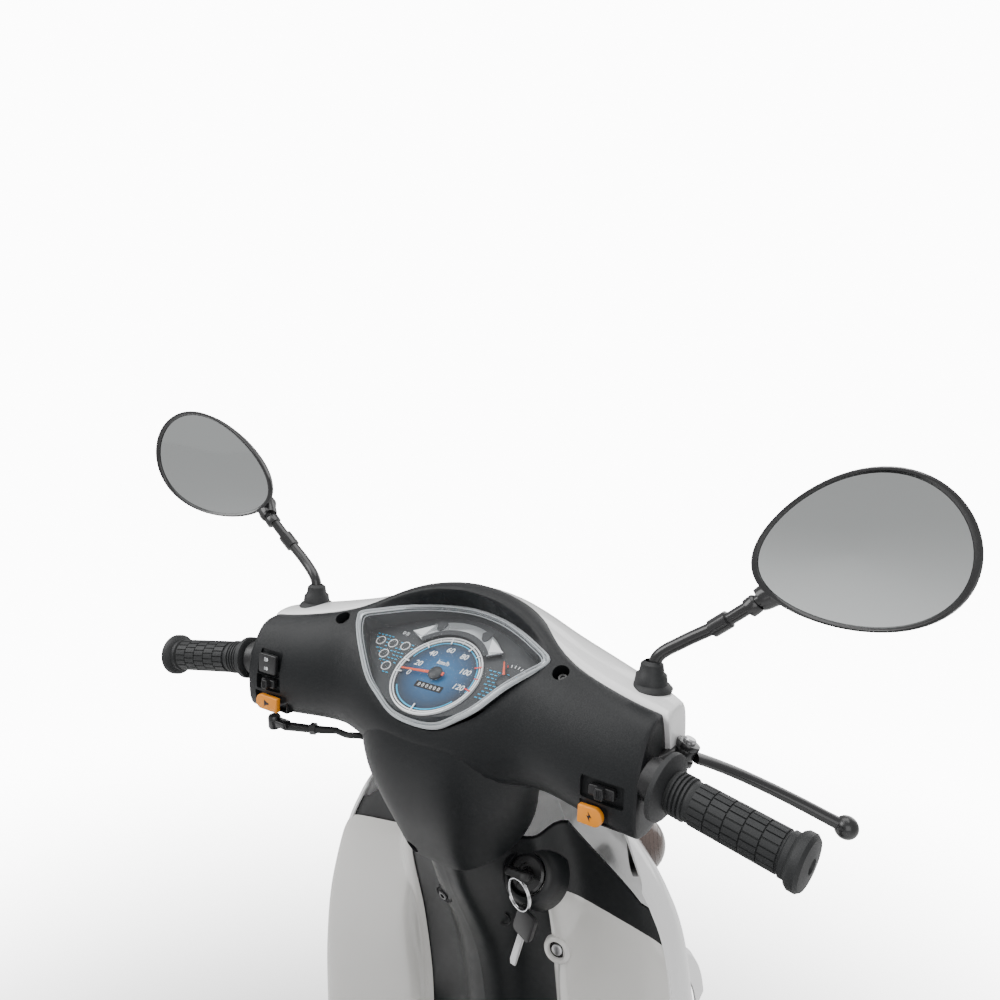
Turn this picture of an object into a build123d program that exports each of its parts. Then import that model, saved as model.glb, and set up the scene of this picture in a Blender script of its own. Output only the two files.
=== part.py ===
from build123d import *
import os
from math import cos, radians, sin, tan

# A moped scooter standing on its centre stand.
# Frame: +X forward, +Y to the rider's left, +Z up, ground at Z = 0, millimetres.
# The origin is on the ground, midway between the front mudguard and the number plate.

os.makedirs("parts", exist_ok=True)

# ---------------------------------------------------------------- driving dimensions
AXLE_X = 620  # front axle forward of the origin, the rear axle is as far behind it
TYRE_R = 215  # 3.50-10 tyre
TYRE_W = 90
RIM_R = 130
STAND_LIFT = 8  # rear tyre above the ground while the centre stand is down
RAKE = 26.5  # steering axis leans back from the vertical, degrees
AXIS_GROUND_X = 700  # where the steering axis meets the ground
LEG_Y = 70  # fork legs from the centre plane
WALL = 3  # moulded panels
SEAT_Z = 706  # underside of the seat pan
GRIP_Y = 335  # outer end of the grips
GRIP_IN_Y = 222  # inner end of the grips
GRIP_END = (179, 980)  # X and Z of the grips' outer end
GRIP_START = (194, 996)  # X and Z of the grips' inner end

AXIS = Vector(-sin(radians(RAKE)), 0, cos(radians(RAKE)))
AXIS_FORWARD = Vector(cos(radians(RAKE)), 0, sin(radians(RAKE)))
SLOPE = tan(radians(RAKE))
REAR_AXLE = Vector(-AXLE_X, 0, TYRE_R + STAND_LIFT)
FRONT_AXLE = Vector(AXLE_X, 0, TYRE_R)
SWING_PIVOT = Vector(-262, 0, 338)
STAND_PIVOT = Vector(-235, 0, 140)
SHOCK_X = -612  # the rear shock stands upright on the gearcase


def finish(builder, name):
    """Labels a finished piece and writes it."""
    builder.part.label = name
    export_step(builder.part, f"parts/{name}.step")


def on_axis(z):
    """The point of the steering axis at height z."""
    return Vector(AXIS_GROUND_X - z * SLOPE, 0, z)


def axis_plane(z):
    """A plane across the steering axis, local X forward and local Y to the left."""
    return Plane(origin=on_axis(z), x_dir=AXIS_FORWARD, z_dir=AXIS)


def leg_plane(z, y):
    """A plane across a fork leg, which runs parallel to the axis through the axle."""
    return Plane(origin=(AXLE_X - (z - TYRE_R) * SLOPE, y, z), x_dir=AXIS_FORWARD, z_dir=AXIS)


def pipe(points, bend, radius, mode=Mode.ADD):
    """Adds or cuts a round bar that follows the points, with bends of the given radius."""
    with BuildLine() as path:
        if len(points) == 2:
            Line(*points)
        else:
            FilletPolyline(*points, radius=bend)
    with BuildSketch(Plane(origin=path.line @ 0, z_dir=path.line % 0)) as section:
        Circle(radius)
    sweep(sections=section.sketch, path=path.line, mode=mode)


def rod(start, end, radius, mode=Mode.ADD):
    """Adds or cuts a straight round bar from start to end."""
    start, end = Vector(*start), Vector(*end)
    with BuildSketch(Plane(origin=start, z_dir=end - start)) as section:
        Circle(radius)
    extrude(section.sketch, amount=(end - start).length, mode=mode)


def block(x, y, z, mode=Mode.ADD):
    """Adds or cuts a box given by its low and high x, y and z."""
    middle = ((x[0] + x[1]) / 2, (y[0] + y[1]) / 2, (z[0] + z[1]) / 2)
    with Locations(middle):
        Box(x[1] - x[0], y[1] - y[0], z[1] - z[0], mode=mode)


def slab(plane, points, amount, mode=Mode.ADD):
    """Adds or cuts a straight-sided outline on a plane, pushed out by amount."""
    with BuildSketch(plane) as section:
        with BuildLine():
            Polyline(*points, close=True)
        make_face()
    extrude(section.sketch, amount=amount, mode=mode)


def skin(sections, inset=0.0, mode=Mode.ADD):
    """Lofts straight between outlines, each (plane, points), drawn in by inset."""
    sketches = []
    for plane, points in sections:
        with BuildSketch(plane) as section:
            with BuildLine():
                Polyline(*points, close=True)
            make_face()
            if inset:
                offset(amount=-inset, kind=Kind.INTERSECTION)
        sketches.append(section.sketch)
    loft(sections=sketches, ruled=True, mode=mode)


def both_sides(points):
    """A half outline from its first to its last point on the centre plane, made whole.
    The second coordinate is the one that changes sign."""
    return [*points, *[(a, -b) for a, b in reversed(points) if b > 0]]


def wide(points):
    """A half outline of (side, height) points from the centre plane to the centre plane, made whole."""
    return [*points, *[(-a, b) for a, b in reversed(points) if a > 0]]


XZ = Plane(origin=(0, 0, 0), x_dir=(1, 0, 0), z_dir=(0, -1, 0))  # local X forward, local Y up


def xz(y):
    """The plane at y whose local X is forward and local Y is up, facing right."""
    return XZ.offset(-y)


def yz(x):
    """The plane at x whose local X is to the left and local Y is up, facing forward."""
    return Plane.YZ.offset(x)


# ---------------------------------------------------------------- frame
RAIL = [(215, 110, 262), (-190, 110, 262), (-330, 110, 480), (-450, 118, 645), (-720, 78, 668)]
with BuildPart() as main_frame:
    rod(on_axis(600), on_axis(790), 25)
    pipe([(356, 0, 690), (320, 0, 610), (320, 0, 440), (302, 0, 262), (205, 0, 262)], 30, 20)
    for side in (1, -1):
        pipe([(x, side * y, z) for x, y, z in RAIL], 60, 14)
        slab(xz(side * 100 + 3), [(-158, 262), (-245, 262), (-255, 128), (-228, 128)], 6)
        slab(xz(side * 69 + 3), [(-240, 430), (-320, 430), (-282, 322), (-242, 322)], 6)
    for x, y, z in [(215, 112, 262), (-60, 112, 262), (-290, 112, 418), (-470, 116, 646), (-715, 80, 668)]:
        rod((x, -y, z), (x, y, z), 12)
    rod((-262, -72, 338), (-262, 72, 338), 8)
    rod((STAND_PIVOT.X, -103, STAND_PIVOT.Z), (STAND_PIVOT.X, 103, STAND_PIVOT.Z), 8)
    slab(xz(118), [(-575, 662), (-630, 665), (-626, 600), (-598, 600)], 9)
    block((-630, -575), (90, 118), (656, 664))
    rod((SHOCK_X, 82, 615), (SHOCK_X, 110, 615), 8)
    rod(on_axis(590), on_axis(800), 21, mode=Mode.SUBTRACT)
finish(main_frame, "main_frame")

with BuildPart() as headset_bearings:
    for low, high in [(592, 600), (790, 798)]:
        rod(on_axis(low), on_axis(high), 28)
        rod(on_axis(low - 1), on_axis(high + 1), 16.8, mode=Mode.SUBTRACT)
finish(headset_bearings, "headset_bearings")

# ---------------------------------------------------------------- front body
FRONT_BODY = [
    (300, [(262, 0), (262, 22), (262, 50), (262, 88), (262, 112), (258, 205), (270, 222), (300, 226),
           (320, 150), (330, 60), (335, 0)]),
    (470, [(288, 0), (289, 20), (296, 46), (296, 88), (290, 112), (281, 216), (292, 234), (320, 232),
           (440, 170), (520, 90), (545, 0)]),
    (600, [(289, 0), (291, 20), (300, 46), (300, 88), (288, 112), (282, 212), (292, 230), (325, 226),
           (430, 170), (495, 92), (522, 0)]),
    (700, [(272, 0), (275, 20), (288, 46), (288, 88), (276, 108), (283, 198), (294, 216), (330, 208),
           (410, 150), (455, 85), (478, 0)]),
    (800, [(228, 0), (232, 20), (262, 46), (270, 88), (290, 110), (296, 172), (306, 186), (335, 178),
           (380, 130), (410, 75), (430, 0)]),
    (930, [(185, 0), (190, 20), (235, 40), (255, 60), (275, 75), (285, 90), (295, 96), (312, 96),
           (330, 80), (350, 50), (368, 0)]),
]
BODY_TOP = 966  # cut across the steering axis, measured along it from the ground
COVER_FOOT = 974


def across(height, size, depth):
    """Cuts away everything below (depth < 0) or above a plane across the steering axis."""
    with BuildSketch(Plane(origin=Vector(AXIS_GROUND_X, 0, 0) + AXIS * height, z_dir=AXIS)) as section:
        Rectangle(size, size)
    extrude(section.sketch, amount=depth, mode=Mode.SUBTRACT)


with BuildPart() as front_hollow:
    skin([(Plane.XY.offset(z), both_sides(points)) for z, points in FRONT_BODY], inset=WALL)
    across(BODY_TOP - WALL, 900, 400)
    block((200, 600), (-300, 300), (290, 300))

with BuildPart() as front_body:
    skin([(Plane.XY.offset(z), both_sides(points)) for z, points in FRONT_BODY])
    across(BODY_TOP, 900, 400)
    add(front_hollow.part, mode=Mode.SUBTRACT)
    # Room for the turning front wheel, fork and stem.
    with BuildSketch(Plane(origin=(AXIS_GROUND_X, 0, 0), x_dir=AXIS_FORWARD, z_dir=(0, -1, 0))) as well:
        with BuildLine():
            Polyline((0, 0), (236, 0), (236, 330), (212, 400), (176, 450), (122, 500), (104, 582),
                     (0, 582), close=True)
        make_face()
    revolve(well.sketch, axis=Axis(Vector(AXIS_GROUND_X, 0, 0), AXIS), mode=Mode.SUBTRACT)
    slab(Plane(origin=(AXIS_GROUND_X, 300, 0), x_dir=AXIS_FORWARD, z_dir=(0, -1, 0)),
         [(-40, 200), (500, 200), (500, 560), (-40, 560)], 600, mode=Mode.SUBTRACT)
    rod(on_axis(800), on_axis(900), 40, mode=Mode.SUBTRACT)
    # The shoulders are lower than the middle.
    for side in (1, -1):
        block((200, 338), (min(side * 98, side * 300), max(side * 98, side * 300)), (795, 960),
              mode=Mode.SUBTRACT)

LOCK_AT = Vector(262, -72, 822)
LOCK_OUT = Vector(-cos(radians(30)), 0, sin(radians(30)))
REAR_FACE = [(150, 290), (296, 290), (320, 480), (320, 610), (312, 690), (312, 990), (150, 990)]
with BuildPart() as leg_shield_inner:
    slab(xz(100), REAR_FACE, 200)
    add(front_body.part, mode=Mode.INTERSECT)
    rod(LOCK_AT - LOCK_OUT * 30, LOCK_AT + LOCK_OUT * 30, 18.4, mode=Mode.SUBTRACT)
finish(leg_shield_inner, "leg_shield_inner")

with BuildPart() as knee_panels:
    slab(xz(240), REAR_FACE, 139.5)
    slab(xz(-100.5), REAR_FACE, 139.5)
    add(front_body.part, mode=Mode.INTERSECT)
finish(knee_panels, "knee_panels")

with BuildPart() as front_apron:
    add(front_body.part)
    slab(xz(250), [(x + 0.5 * (x > 200), z) for x, z in REAR_FACE], 500, mode=Mode.SUBTRACT)
    for side in (1, -1):
        with Locations((372, side * 128, 815)):
            Sphere(30.5, mode=Mode.SUBTRACT)
finish(front_apron, "front_apron")

with BuildPart() as front_turn_signals:
    for side in (1, -1):
        with Locations((372, side * 128, 815)):
            Sphere(30)
            Sphere(24, mode=Mode.SUBTRACT)
finish(front_turn_signals, "front_turn_signals")

# ---------------------------------------------------------------- floor
with BuildPart() as floorboard:
    slab(Plane.XY.offset(288), both_sides([(332, 0), (332, 120), (300, 222), (262, 222), (215, 155),
                                           (-60, 150), (-60, 0)]), 11.7)
    rod((308, 0, 280), (308, 0, 310), 26, mode=Mode.SUBTRACT)
    block((150, 420), (-26, 26), (280, 310), mode=Mode.SUBTRACT)
finish(floorboard, "floorboard")

with BuildPart() as belly_cover:
    skin([(yz(-138), wide([(0, 192), (100, 192), (134, 215), (142, 287.6), (0, 287.6)])),
          (yz(250), wide([(0, 186), (100, 186), (134, 210), (142, 287.6), (0, 287.6)])),
          (yz(332), wide([(0, 230), (80, 230), (105, 240), (112, 287.6), (0, 287.6)]))])
    skin([(yz(-141), wide([(0, 195), (98, 195), (131, 217), (139, 292), (0, 292)])),
          (yz(250), wide([(0, 189), (98, 189), (131, 212), (139, 292), (0, 292)])),
          (yz(329), wide([(0, 233), (78, 233), (102, 243), (109, 292), (0, 292)]))],
         mode=Mode.SUBTRACT)
finish(belly_cover, "belly_cover")

with BuildPart() as battery:
    block((20, 170), (-60, 60), (198, 284))
    for y in (-40, 40):
        block((30, 50), (y - 8, y + 8), (284, 287))
finish(battery, "battery")

with BuildPart() as ignition_lock:
    rod(LOCK_AT - LOCK_OUT * 42, LOCK_AT + LOCK_OUT * 9, 14)
    rod(LOCK_AT + LOCK_OUT * 9, LOCK_AT + LOCK_OUT * 12, 18)
    rod(LOCK_AT - LOCK_OUT * 22, LOCK_AT + LOCK_OUT * 12, 6, mode=Mode.SUBTRACT)
finish(ignition_lock, "ignition_lock")

KEY_PLANE = Plane(origin=LOCK_AT + LOCK_OUT * 13, x_dir=(0, 1, 0), z_dir=LOCK_OUT)
with BuildPart() as ignition_key:
    with BuildSketch(KEY_PLANE.offset(-30)):
        Rectangle(8, 2.4)
    extrude(amount=34)
    with BuildSketch(KEY_PLANE.offset(4)):
        RectangleRounded(24, 7, 3)
    extrude(amount=20)
finish(ignition_key, "ignition_key")

# ---------------------------------------------------------------- rear body
REAR_BODY = [
    (-40, [(0, 300.3), (118, 300.3), (150, 420), (150, 560), (112, 690), (0, 690)]),
    (-150, [(0, 300.3), (150, 300.3), (168, 430), (165, 560), (135, 692), (0, 692)]),
    (-260, [(0, 360), (162, 360), (176, 450), (168, 580), (138, 694), (0, 694)]),
    (-450, [(0, 440), (172, 440), (180, 500), (168, 600), (138, 698), (0, 698)]),
    (-650, [(0, 505), (160, 505), (166, 550), (150, 630), (128, 712), (0, 712)]),
    (-800, [(0, 575), (90, 575), (98, 605), (88, 660), (75, 726), (0, 726)]),
]
with BuildPart() as rear_body:
    skin([(yz(x), wide(points)) for x, points in REAR_BODY])
    skin([(yz(x - 3 * (x == -40)), wide(points)) for x, points in REAR_BODY], inset=WALL,
         mode=Mode.SUBTRACT)
    block((-560, -60), (-102, 102), (685, 735), mode=Mode.SUBTRACT)
    block((-700, -60), (-126, 126), (290, 600), mode=Mode.SUBTRACT)
    block((-790, -60), (-78, 78), (290, 640), mode=Mode.SUBTRACT)
    block((-150, -50), (-116, 116), (290, 306), mode=Mode.SUBTRACT)
    for side in (1, -1):
        rod((-575, side * 116, 660), (-575, side * 116, 760), 12, mode=Mode.SUBTRACT)

with BuildPart() as seat_front_cover:
    block((-75, -30), (-200, 200), (290, 740))
    add(rear_body.part, mode=Mode.INTERSECT)
    block((-46, -22), (-14, 14), (684, 702))
    rod((-30, -40, 694), (-30, 40, 694), 5.4, mode=Mode.SUBTRACT)
finish(seat_front_cover, "seat_front_cover")

with BuildPart() as side_panels:
    for side in (1, -1):
        block((-820, -75.5), (min(side * 0.3, side * 220), max(side * 0.3, side * 220)), (290, 760))
    add(rear_body.part, mode=Mode.INTERSECT)
finish(side_panels, "side_panels")

with BuildPart() as tail_lamp:
    skin([(yz(-800.3), wide([(0, 590), (78, 590), (84, 620), (74, 690), (0, 690)])),
          (yz(-832), wide([(0, 602), (60, 602), (66, 622), (60, 672), (0, 672)]))])
finish(tail_lamp, "tail_lamp")

with BuildPart() as grab_rail:
    pipe([(-575, 116, 683), (-575, 116, 742), (-700, 132, 778), (-808, 70, 796), (-808, -70, 796),
          (-700, -132, 778), (-575, -116, 742), (-575, -116, 683)], 22, 10)
finish(grab_rail, "grab_rail")

with BuildPart() as storage_bucket:
    skin([(Plane.XY.offset(452), [(-120, -78), (-120, 78), (-400, 78), (-400, -78)]),
          (Plane.XY.offset(700), [(-105, -97), (-105, 97), (-425, 97), (-425, -97)])])
    skin([(Plane.XY.offset(455), [(-123, -75), (-123, 75), (-397, 75), (-397, -75)]),
          (Plane.XY.offset(701), [(-108, -94), (-108, 94), (-422, 94), (-422, -94)])],
         mode=Mode.SUBTRACT)
finish(storage_bucket, "storage_bucket")

with BuildPart() as fuel_tank:
    block((-690, -500), (-85, 60), (548, 628))
    fillet(fuel_tank.edges().filter_by(Axis.Z), 20)
    rod((-534, 0, 627), (-534, 0, 652), 24)
    rod((-534, 0, 651), (-534, 0, 668), 30)
finish(fuel_tank, "fuel_tank")


def arch(centre, inner, outer, half_inner, half_outer, skirt, start, sweep_angle):
    """A mudguard: a channel turned about a wheel axis, from start, degrees up from forward."""
    direction = Vector(cos(radians(start)), 0, sin(radians(start)))
    with BuildSketch(Plane(origin=centre, x_dir=direction, z_dir=direction.cross(Vector(0, 1, 0)))) as rim:
        with BuildLine():
            Polyline((skirt, -half_outer), (outer - 8, -half_outer), (outer, -half_outer + 10),
                     (outer, half_outer - 10), (outer - 8, half_outer), (skirt, half_outer),
                     (skirt, half_inner), (inner, half_inner - 8), (inner, -half_inner + 8),
                     (skirt, -half_inner), close=True)
        make_face()
    revolve(rim.sketch, axis=Axis(centre, (0, -1, 0)), revolution_arc=sweep_angle)


with BuildPart() as rear_mudguard:
    arch(Vector(-AXLE_X, 0, 278), 232, 235, 56, 59, 205, 52, 106)
    block((-846, -838), (-70, 70), (368, 490))
    block((-842, -832), (-30, 30), (372, 412))
finish(rear_mudguard, "rear_mudguard")

# ---------------------------------------------------------------- steering
with BuildPart() as steering_stem:
    rod(on_axis(500), on_axis(940), 16)
    rod(on_axis(580), on_axis(591.7), 26)
    rod(on_axis(798.3), on_axis(812), 24)
    with BuildSketch(axis_plane(497)) as crown:
        with Locations((24.3, 0)):
            RectangleRounded(46, 2 * LEG_Y + 44, 18)
    extrude(crown.sketch, amount=16)
    for side in (1, -1):
        rod(leg_plane(340, side * LEG_Y).origin, leg_plane(520, side * LEG_Y).origin, 14)
finish(steering_stem, "steering_stem")

BAR = [(179, 335, 980), (194, 222, 996), (206, 172, 1000), (230, 80, 958), (230, -80, 958),
       (206, -172, 1000), (194, -222, 996), (179, -335, 980)]
with BuildPart() as handlebar:
    pipe(BAR, 22, 11)
    rod(on_axis(885), on_axis(954), 22)
    rod(on_axis(880), on_axis(940.2), 16.1, mode=Mode.SUBTRACT)
finish(handlebar, "handlebar")

COVER = [
    (0, [(188, 935), (170, 985), (176, 992), (256, 1060), (254, 1088), (264, 1094), (320, 1070),
         (372, 1012), (386, 960), (374, 905), (300, 880)]),
    (60, [(192, 938), (172, 986), (178, 994), (248, 1056), (247, 1074), (262, 1080), (316, 1062),
          (364, 1010), (378, 958), (366, 910), (298, 885)]),
    (108, [(200, 946), (177, 986), (182, 998), (228, 1046), (234, 1054), (262, 1062), (300, 1046),
           (340, 1008), (350, 958), (340, 918), (290, 900)]),
    (160, [(186, 947), (174, 968), (178, 1008), (204, 1040), (220, 1046), (262, 1051), (283, 1036),
           (298, 1008), (300, 970), (284, 938), (250, 936)]),
    (218, [(180, 950), (174, 961), (176, 1006), (203, 1034), (211, 1037), (240, 1038), (250, 1034),
           (254, 1016), (253, 1002), (245, 962), (230, 942)]),
]
COVER = [*[(-y, points) for y, points in reversed(COVER) if y > 0], *COVER]
THROAT = [(Plane.XY.offset(975), [(186, -96), (186, 96), (340, 90), (340, -90)]),
          (Plane.XY.offset(830), [(200, -40), (200, 40), (345, 46), (345, -46)])]
with BuildPart() as cover:
    skin([(xz(y), points) for y, points in COVER])
    skin(THROAT)
    across(COVER_FOOT, 900, -400)
    skin([(xz(y * (218 - WALL) / 218), points) for y, points in COVER], inset=WALL, mode=Mode.SUBTRACT)
    skin([(THROAT[0][0].offset(-2), THROAT[0][1]), (THROAT[1][0].offset(-4), THROAT[1][1])], inset=WALL,
         mode=Mode.SUBTRACT)

# The instruments lie on a plane that leans up from the rider by this much.
DIAL_LEAN = 29
DIAL_AT = Vector(212, 0, 1020)
DIAL_OUT = Vector(-sin(radians(DIAL_LEAN)), 0, cos(radians(DIAL_LEAN)))
DIAL_PLANE = Plane(origin=DIAL_AT, x_dir=(0, -1, 0), z_dir=DIAL_OUT)
LENS = [(26, -44), (60, -22), (101, 20), (98, 31), (62, 46), (30, 52), (-30, 52), (-62, 46), (-98, 31),
        (-101, 20), (-60, -22), (-26, -44)]
FACE = Vector(-0.995, 0, 0.0998)  # the switch pods face the rider along this
SWITCHES = {
    "dip_switch": ((177.3, 186, 1003), 11, 9.5),
    "signal_switch": ((175.4, 186, 983), 13, 6),
    "horn_button": ((174, 184, 964), 18, 7.5),
    "light_switch": ((175.6, -186, 984), 16, 7),
    "starter_button": ((174, -184, 964), 18, 7.5),
}


def pod_plane(at, out=0.0):
    """A plane on a switch pod's face, local X to the left and local Y up the face."""
    return Plane(origin=Vector(*at) + FACE * out, x_dir=(0, 1, 0), z_dir=FACE)


def pod_box(at, half_width, half_height, low, high, mode=Mode.ADD):
    """A box standing on the pod's face from low to high along its outward direction."""
    with BuildSketch(pod_plane(at, low)) as section:
        Rectangle(2 * half_width, 2 * half_height)
    extrude(section.sketch, amount=high - low, mode=mode)


with BuildPart() as rear_handlebar_cover:
    block((100, 259.8), (-230, 230), (700, 1200))
    add(cover.part, mode=Mode.INTERSECT)
    slab(DIAL_PLANE.offset(-60), LENS, 130, mode=Mode.SUBTRACT)
    for at, half_width, half_height in SWITCHES.values():
        pod_box(at, half_width + 0.6, half_height + 0.6, -14, 10, mode=Mode.SUBTRACT)
    for name in ("horn_button", "starter_button"):
        at, half_width, half_height = SWITCHES[name]
        pod_box(at, half_width + 2.4, half_height + 1.9, -16.4, -5.6, mode=Mode.SUBTRACT)
    pipe(BAR, 22, 12, mode=Mode.SUBTRACT)
    rod((203, 108, 934), (240, 55, 914), 6, mode=Mode.SUBTRACT)
    for side in (1, -1):
        block((196, 262), (min(side * 196, side * 240), max(side * 196, side * 240)), (984, 1022),
              mode=Mode.SUBTRACT)
        rod((250, side * 191, 1000), (250, side * 191, 1090), 15.6, mode=Mode.SUBTRACT)
finish(rear_handlebar_cover, "rear_handlebar_cover")

HEADLIGHT = Plane(origin=(350, 0, 965), x_dir=(0, 1, 0), z_dir=(1, 0, 0))
with BuildPart() as front_handlebar_cover:
    block((260.2, 460), (-230, 230), (700, 1200))
    add(cover.part, mode=Mode.INTERSECT)
    with BuildSketch(HEADLIGHT) as opening:
        Ellipse(76, 36)
    extrude(opening.sketch, amount=80, mode=Mode.SUBTRACT)
    for side in (1, -1):
        block((216, 262), (min(side * 196, side * 240), max(side * 196, side * 240)), (984, 1022),
              mode=Mode.SUBTRACT)
        rod((250, side * 191, 1000), (250, side * 191, 1090), 15.6, mode=Mode.SUBTRACT)
finish(front_handlebar_cover, "front_handlebar_cover")

with BuildPart() as headlight:
    with BuildSketch(HEADLIGHT.offset(-20)) as back:
        Ellipse(38, 20)
    with BuildSketch(HEADLIGHT) as middle:
        Ellipse(75, 35)
    loft(sections=[back.sketch, middle.sketch], ruled=True)
    extrude(middle.sketch, amount=26)
finish(headlight, "headlight")

INNER_LENS = [(x * 0.965, y * 0.95) for x, y in LENS]
with BuildPart() as instrument_housing:
    slab(DIAL_PLANE.offset(-16), INNER_LENS, 30)
    slab(DIAL_PLANE, [(x * 0.93, y * 0.9) for x, y in LENS], 20, mode=Mode.SUBTRACT)
    for at in ((0, 0), (68, 10)):
        with BuildSketch(DIAL_PLANE.offset(-20)) as spindle:
            with Locations(at):
                Circle(1.8)
        extrude(spindle.sketch, amount=24, mode=Mode.SUBTRACT)
finish(instrument_housing, "instrument_housing")

with BuildPart() as instrument_lens:
    slab(DIAL_PLANE.offset(14.2), INNER_LENS, 2.4)
finish(instrument_lens, "instrument_lens")


def needle(at, length, lean):
    """A pointer on its spindle; lean is its direction, degrees up from the dial's right."""
    with BuildSketch(DIAL_PLANE.offset(-15)) as pin:
        with Locations(at):
            Circle(1.4)
    extrude(pin.sketch, amount=18)
    with BuildSketch(DIAL_PLANE.offset(3)) as hub:
        with Locations(at):
            Circle(7)
    extrude(hub.sketch, amount=5)
    with BuildSketch(DIAL_PLANE.offset(4)) as pointer:
        with Locations(Location((*at, 0), (0, 0, lean))):
            with Locations((length / 2, 0)):
                Rectangle(length, 2.4)
    extrude(pointer.sketch, amount=1.6)


with BuildPart() as speed_needle:
    needle((0, 0), 31, 184)
finish(speed_needle, "speed_needle")

with BuildPart() as fuel_needle:
    needle((68, 10), 20, 150)
finish(fuel_needle, "fuel_needle")

with BuildPart() as switch_blocks:
    for at, half_width, half_height in [SWITCHES["horn_button"], SWITCHES["starter_button"]]:
        pod_box(at, half_width + 2, half_height + 1.5, -16, -6)
        pod_box(at, half_width + 0.5, half_height + 0.5, -13, -5, mode=Mode.SUBTRACT)
    for at, half_width, half_height in [SWITCHES["signal_switch"], SWITCHES["light_switch"]]:
        pod_box(at, half_width - 3, half_height - 3, -11, -9.5)
finish(switch_blocks, "switch_blocks")

with BuildPart() as horn_button:
    pod_box(SWITCHES["horn_button"][0], 18, 7.5, -8, 4)
finish(horn_button, "horn_button")

with BuildPart() as starter_button:
    pod_box(SWITCHES["starter_button"][0], 18, 7.5, -8, 4)
finish(starter_button, "starter_button")

with BuildPart() as dip_switch:
    pod_box(SWITCHES["dip_switch"][0], 10, 8.5, -4, 3)
finish(dip_switch, "dip_switch")

with BuildPart() as signal_switch:
    pod_box(SWITCHES["signal_switch"][0], 5, 6, -9, 4)
finish(signal_switch, "signal_switch")

with BuildPart() as light_switch:
    pod_box(SWITCHES["light_switch"][0], 8, 6, -9, 4)
finish(light_switch, "light_switch")


def grip_point(side, along):
    """A point on a grip's axis, along it from its inner end, on the given side."""
    start = Vector(GRIP_START[0], side * GRIP_IN_Y, GRIP_START[1])
    end = Vector(GRIP_END[0], side * GRIP_Y, GRIP_END[1])
    return start + (end - start).normalized() * along


with BuildPart() as left_grip:
    rod(grip_point(1, 8), grip_point(1, 118), 17)
    rod(grip_point(1, 8), grip_point(1, 12), 21)
    rod(grip_point(1, 111), grip_point(1, 118), 21)
    rod(grip_point(1, -5), grip_point(1, 115.3), 11, mode=Mode.SUBTRACT)
finish(left_grip, "left_grip")

with BuildPart() as throttle_grip:
    rod(grip_point(-1, 7), grip_point(-1, 118), 17)
    rod(grip_point(-1, 7), grip_point(-1, 12), 27)
    rod(grip_point(-1, 111), grip_point(-1, 118), 21)
    rod(grip_point(-1, -5), grip_point(-1, 115.5), 11.4, mode=Mode.SUBTRACT)
finish(throttle_grip, "throttle_grip")


def lever_plane(side, height):
    """The plane a brake lever swings in: local X from its pivot towards the ball."""
    reach = Vector(48, side * 118, -51)
    pull = Vector(-110, side * -5, 28)
    normal = reach.cross(pull) * side
    pivot = Vector(237, side * 227, 1003)
    return Plane(origin=pivot + normal.normalized() * height, x_dir=reach, z_dir=normal)


with BuildPart() as lever_perches:
    for side in (1, -1):
        rod((198.5, side * 200, 998.2), (196.5, side * 211, 997.4), 15)
        with BuildSketch(lever_plane(side, -9)) as arm:
            Circle(9)
        extrude(arm.sketch, amount=18)
        rod((200, side * 206, 998), (237, side * 226, 1003), 7)
        with BuildSketch(lever_plane(side, -4.4)) as gap:
            with Locations((8, 0)):
                Rectangle(34, 22)
        extrude(gap.sketch, amount=8.8, mode=Mode.SUBTRACT)
        with BuildSketch(lever_plane(side, -9)) as pin:
            Circle(3)
        extrude(pin.sketch, amount=18)
        rod((250, side * 191, 990), (250, side * 191, 1040), 9)
        rod((200, side * 204, 999), (250, side * 191, 996), 6)
    pipe(BAR, 22, 11, mode=Mode.SUBTRACT)
finish(lever_perches, "lever_perches")


def brake_lever(side):
    """A brake lever: an eye on the pivot pin, a curved blade and a ball at its end."""
    with BuildSketch(lever_plane(side, -4)) as eye:
        Circle(8.5)
    extrude(eye.sketch, amount=8)
    plane = lever_plane(side, 0)
    blade = [(16, 0), (44, -7), (90, -6), (132, 0)]
    pipe([tuple(plane.from_local_coords(Vector(x, side * y, 0))) for x, y in blade], 60, 5.5)
    slab(lever_plane(side, -4), [(0, -6), (24, -8), (24, 8), (0, 6)], 8)
    with Locations(plane.from_local_coords(Vector(134, 0, 0))):
        Sphere(9)
    with BuildSketch(lever_plane(side, -5)) as bore:
        Circle(3.4)
    extrude(bore.sketch, amount=10, mode=Mode.SUBTRACT)


with BuildPart() as brake_lever_left:
    brake_lever(1)
finish(brake_lever_left, "brake_lever_left")

with BuildPart() as brake_lever_right:
    brake_lever(-1)
finish(brake_lever_right, "brake_lever_right")

with BuildPart() as brake_cables:
    pipe([(202, 150, 930), (203, 104, 934), (216, 88, 925), (262, 30, 905)], 12, 3)
    rod((199, 168, 930), (202, 140, 930.5), 5)
finish(brake_cables, "brake_cables")


# ---------------------------------------------------------------- mirrors
MIRROR_NORMAL_YAW = 13  # the glass faces back and inwards
MIRROR_ROLL = 20.6  # the outer end is the higher one


def mirror_plane(side, out=0.0):
    """The plane of a mirror's glass, local X outwards and upwards, facing the rider."""
    yaw = radians(MIRROR_NORMAL_YAW)
    normal = Vector(-cos(yaw), -side * sin(yaw), 0)
    across_glass = Vector(-sin(yaw), side * cos(yaw), 0)
    roll = radians(MIRROR_ROLL)
    outward = across_glass * cos(roll) + Vector(0, 0, 1) * sin(roll)
    return Plane(origin=Vector(244, side * 339, 1178) + normal * out, x_dir=outward, z_dir=normal)


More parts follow.
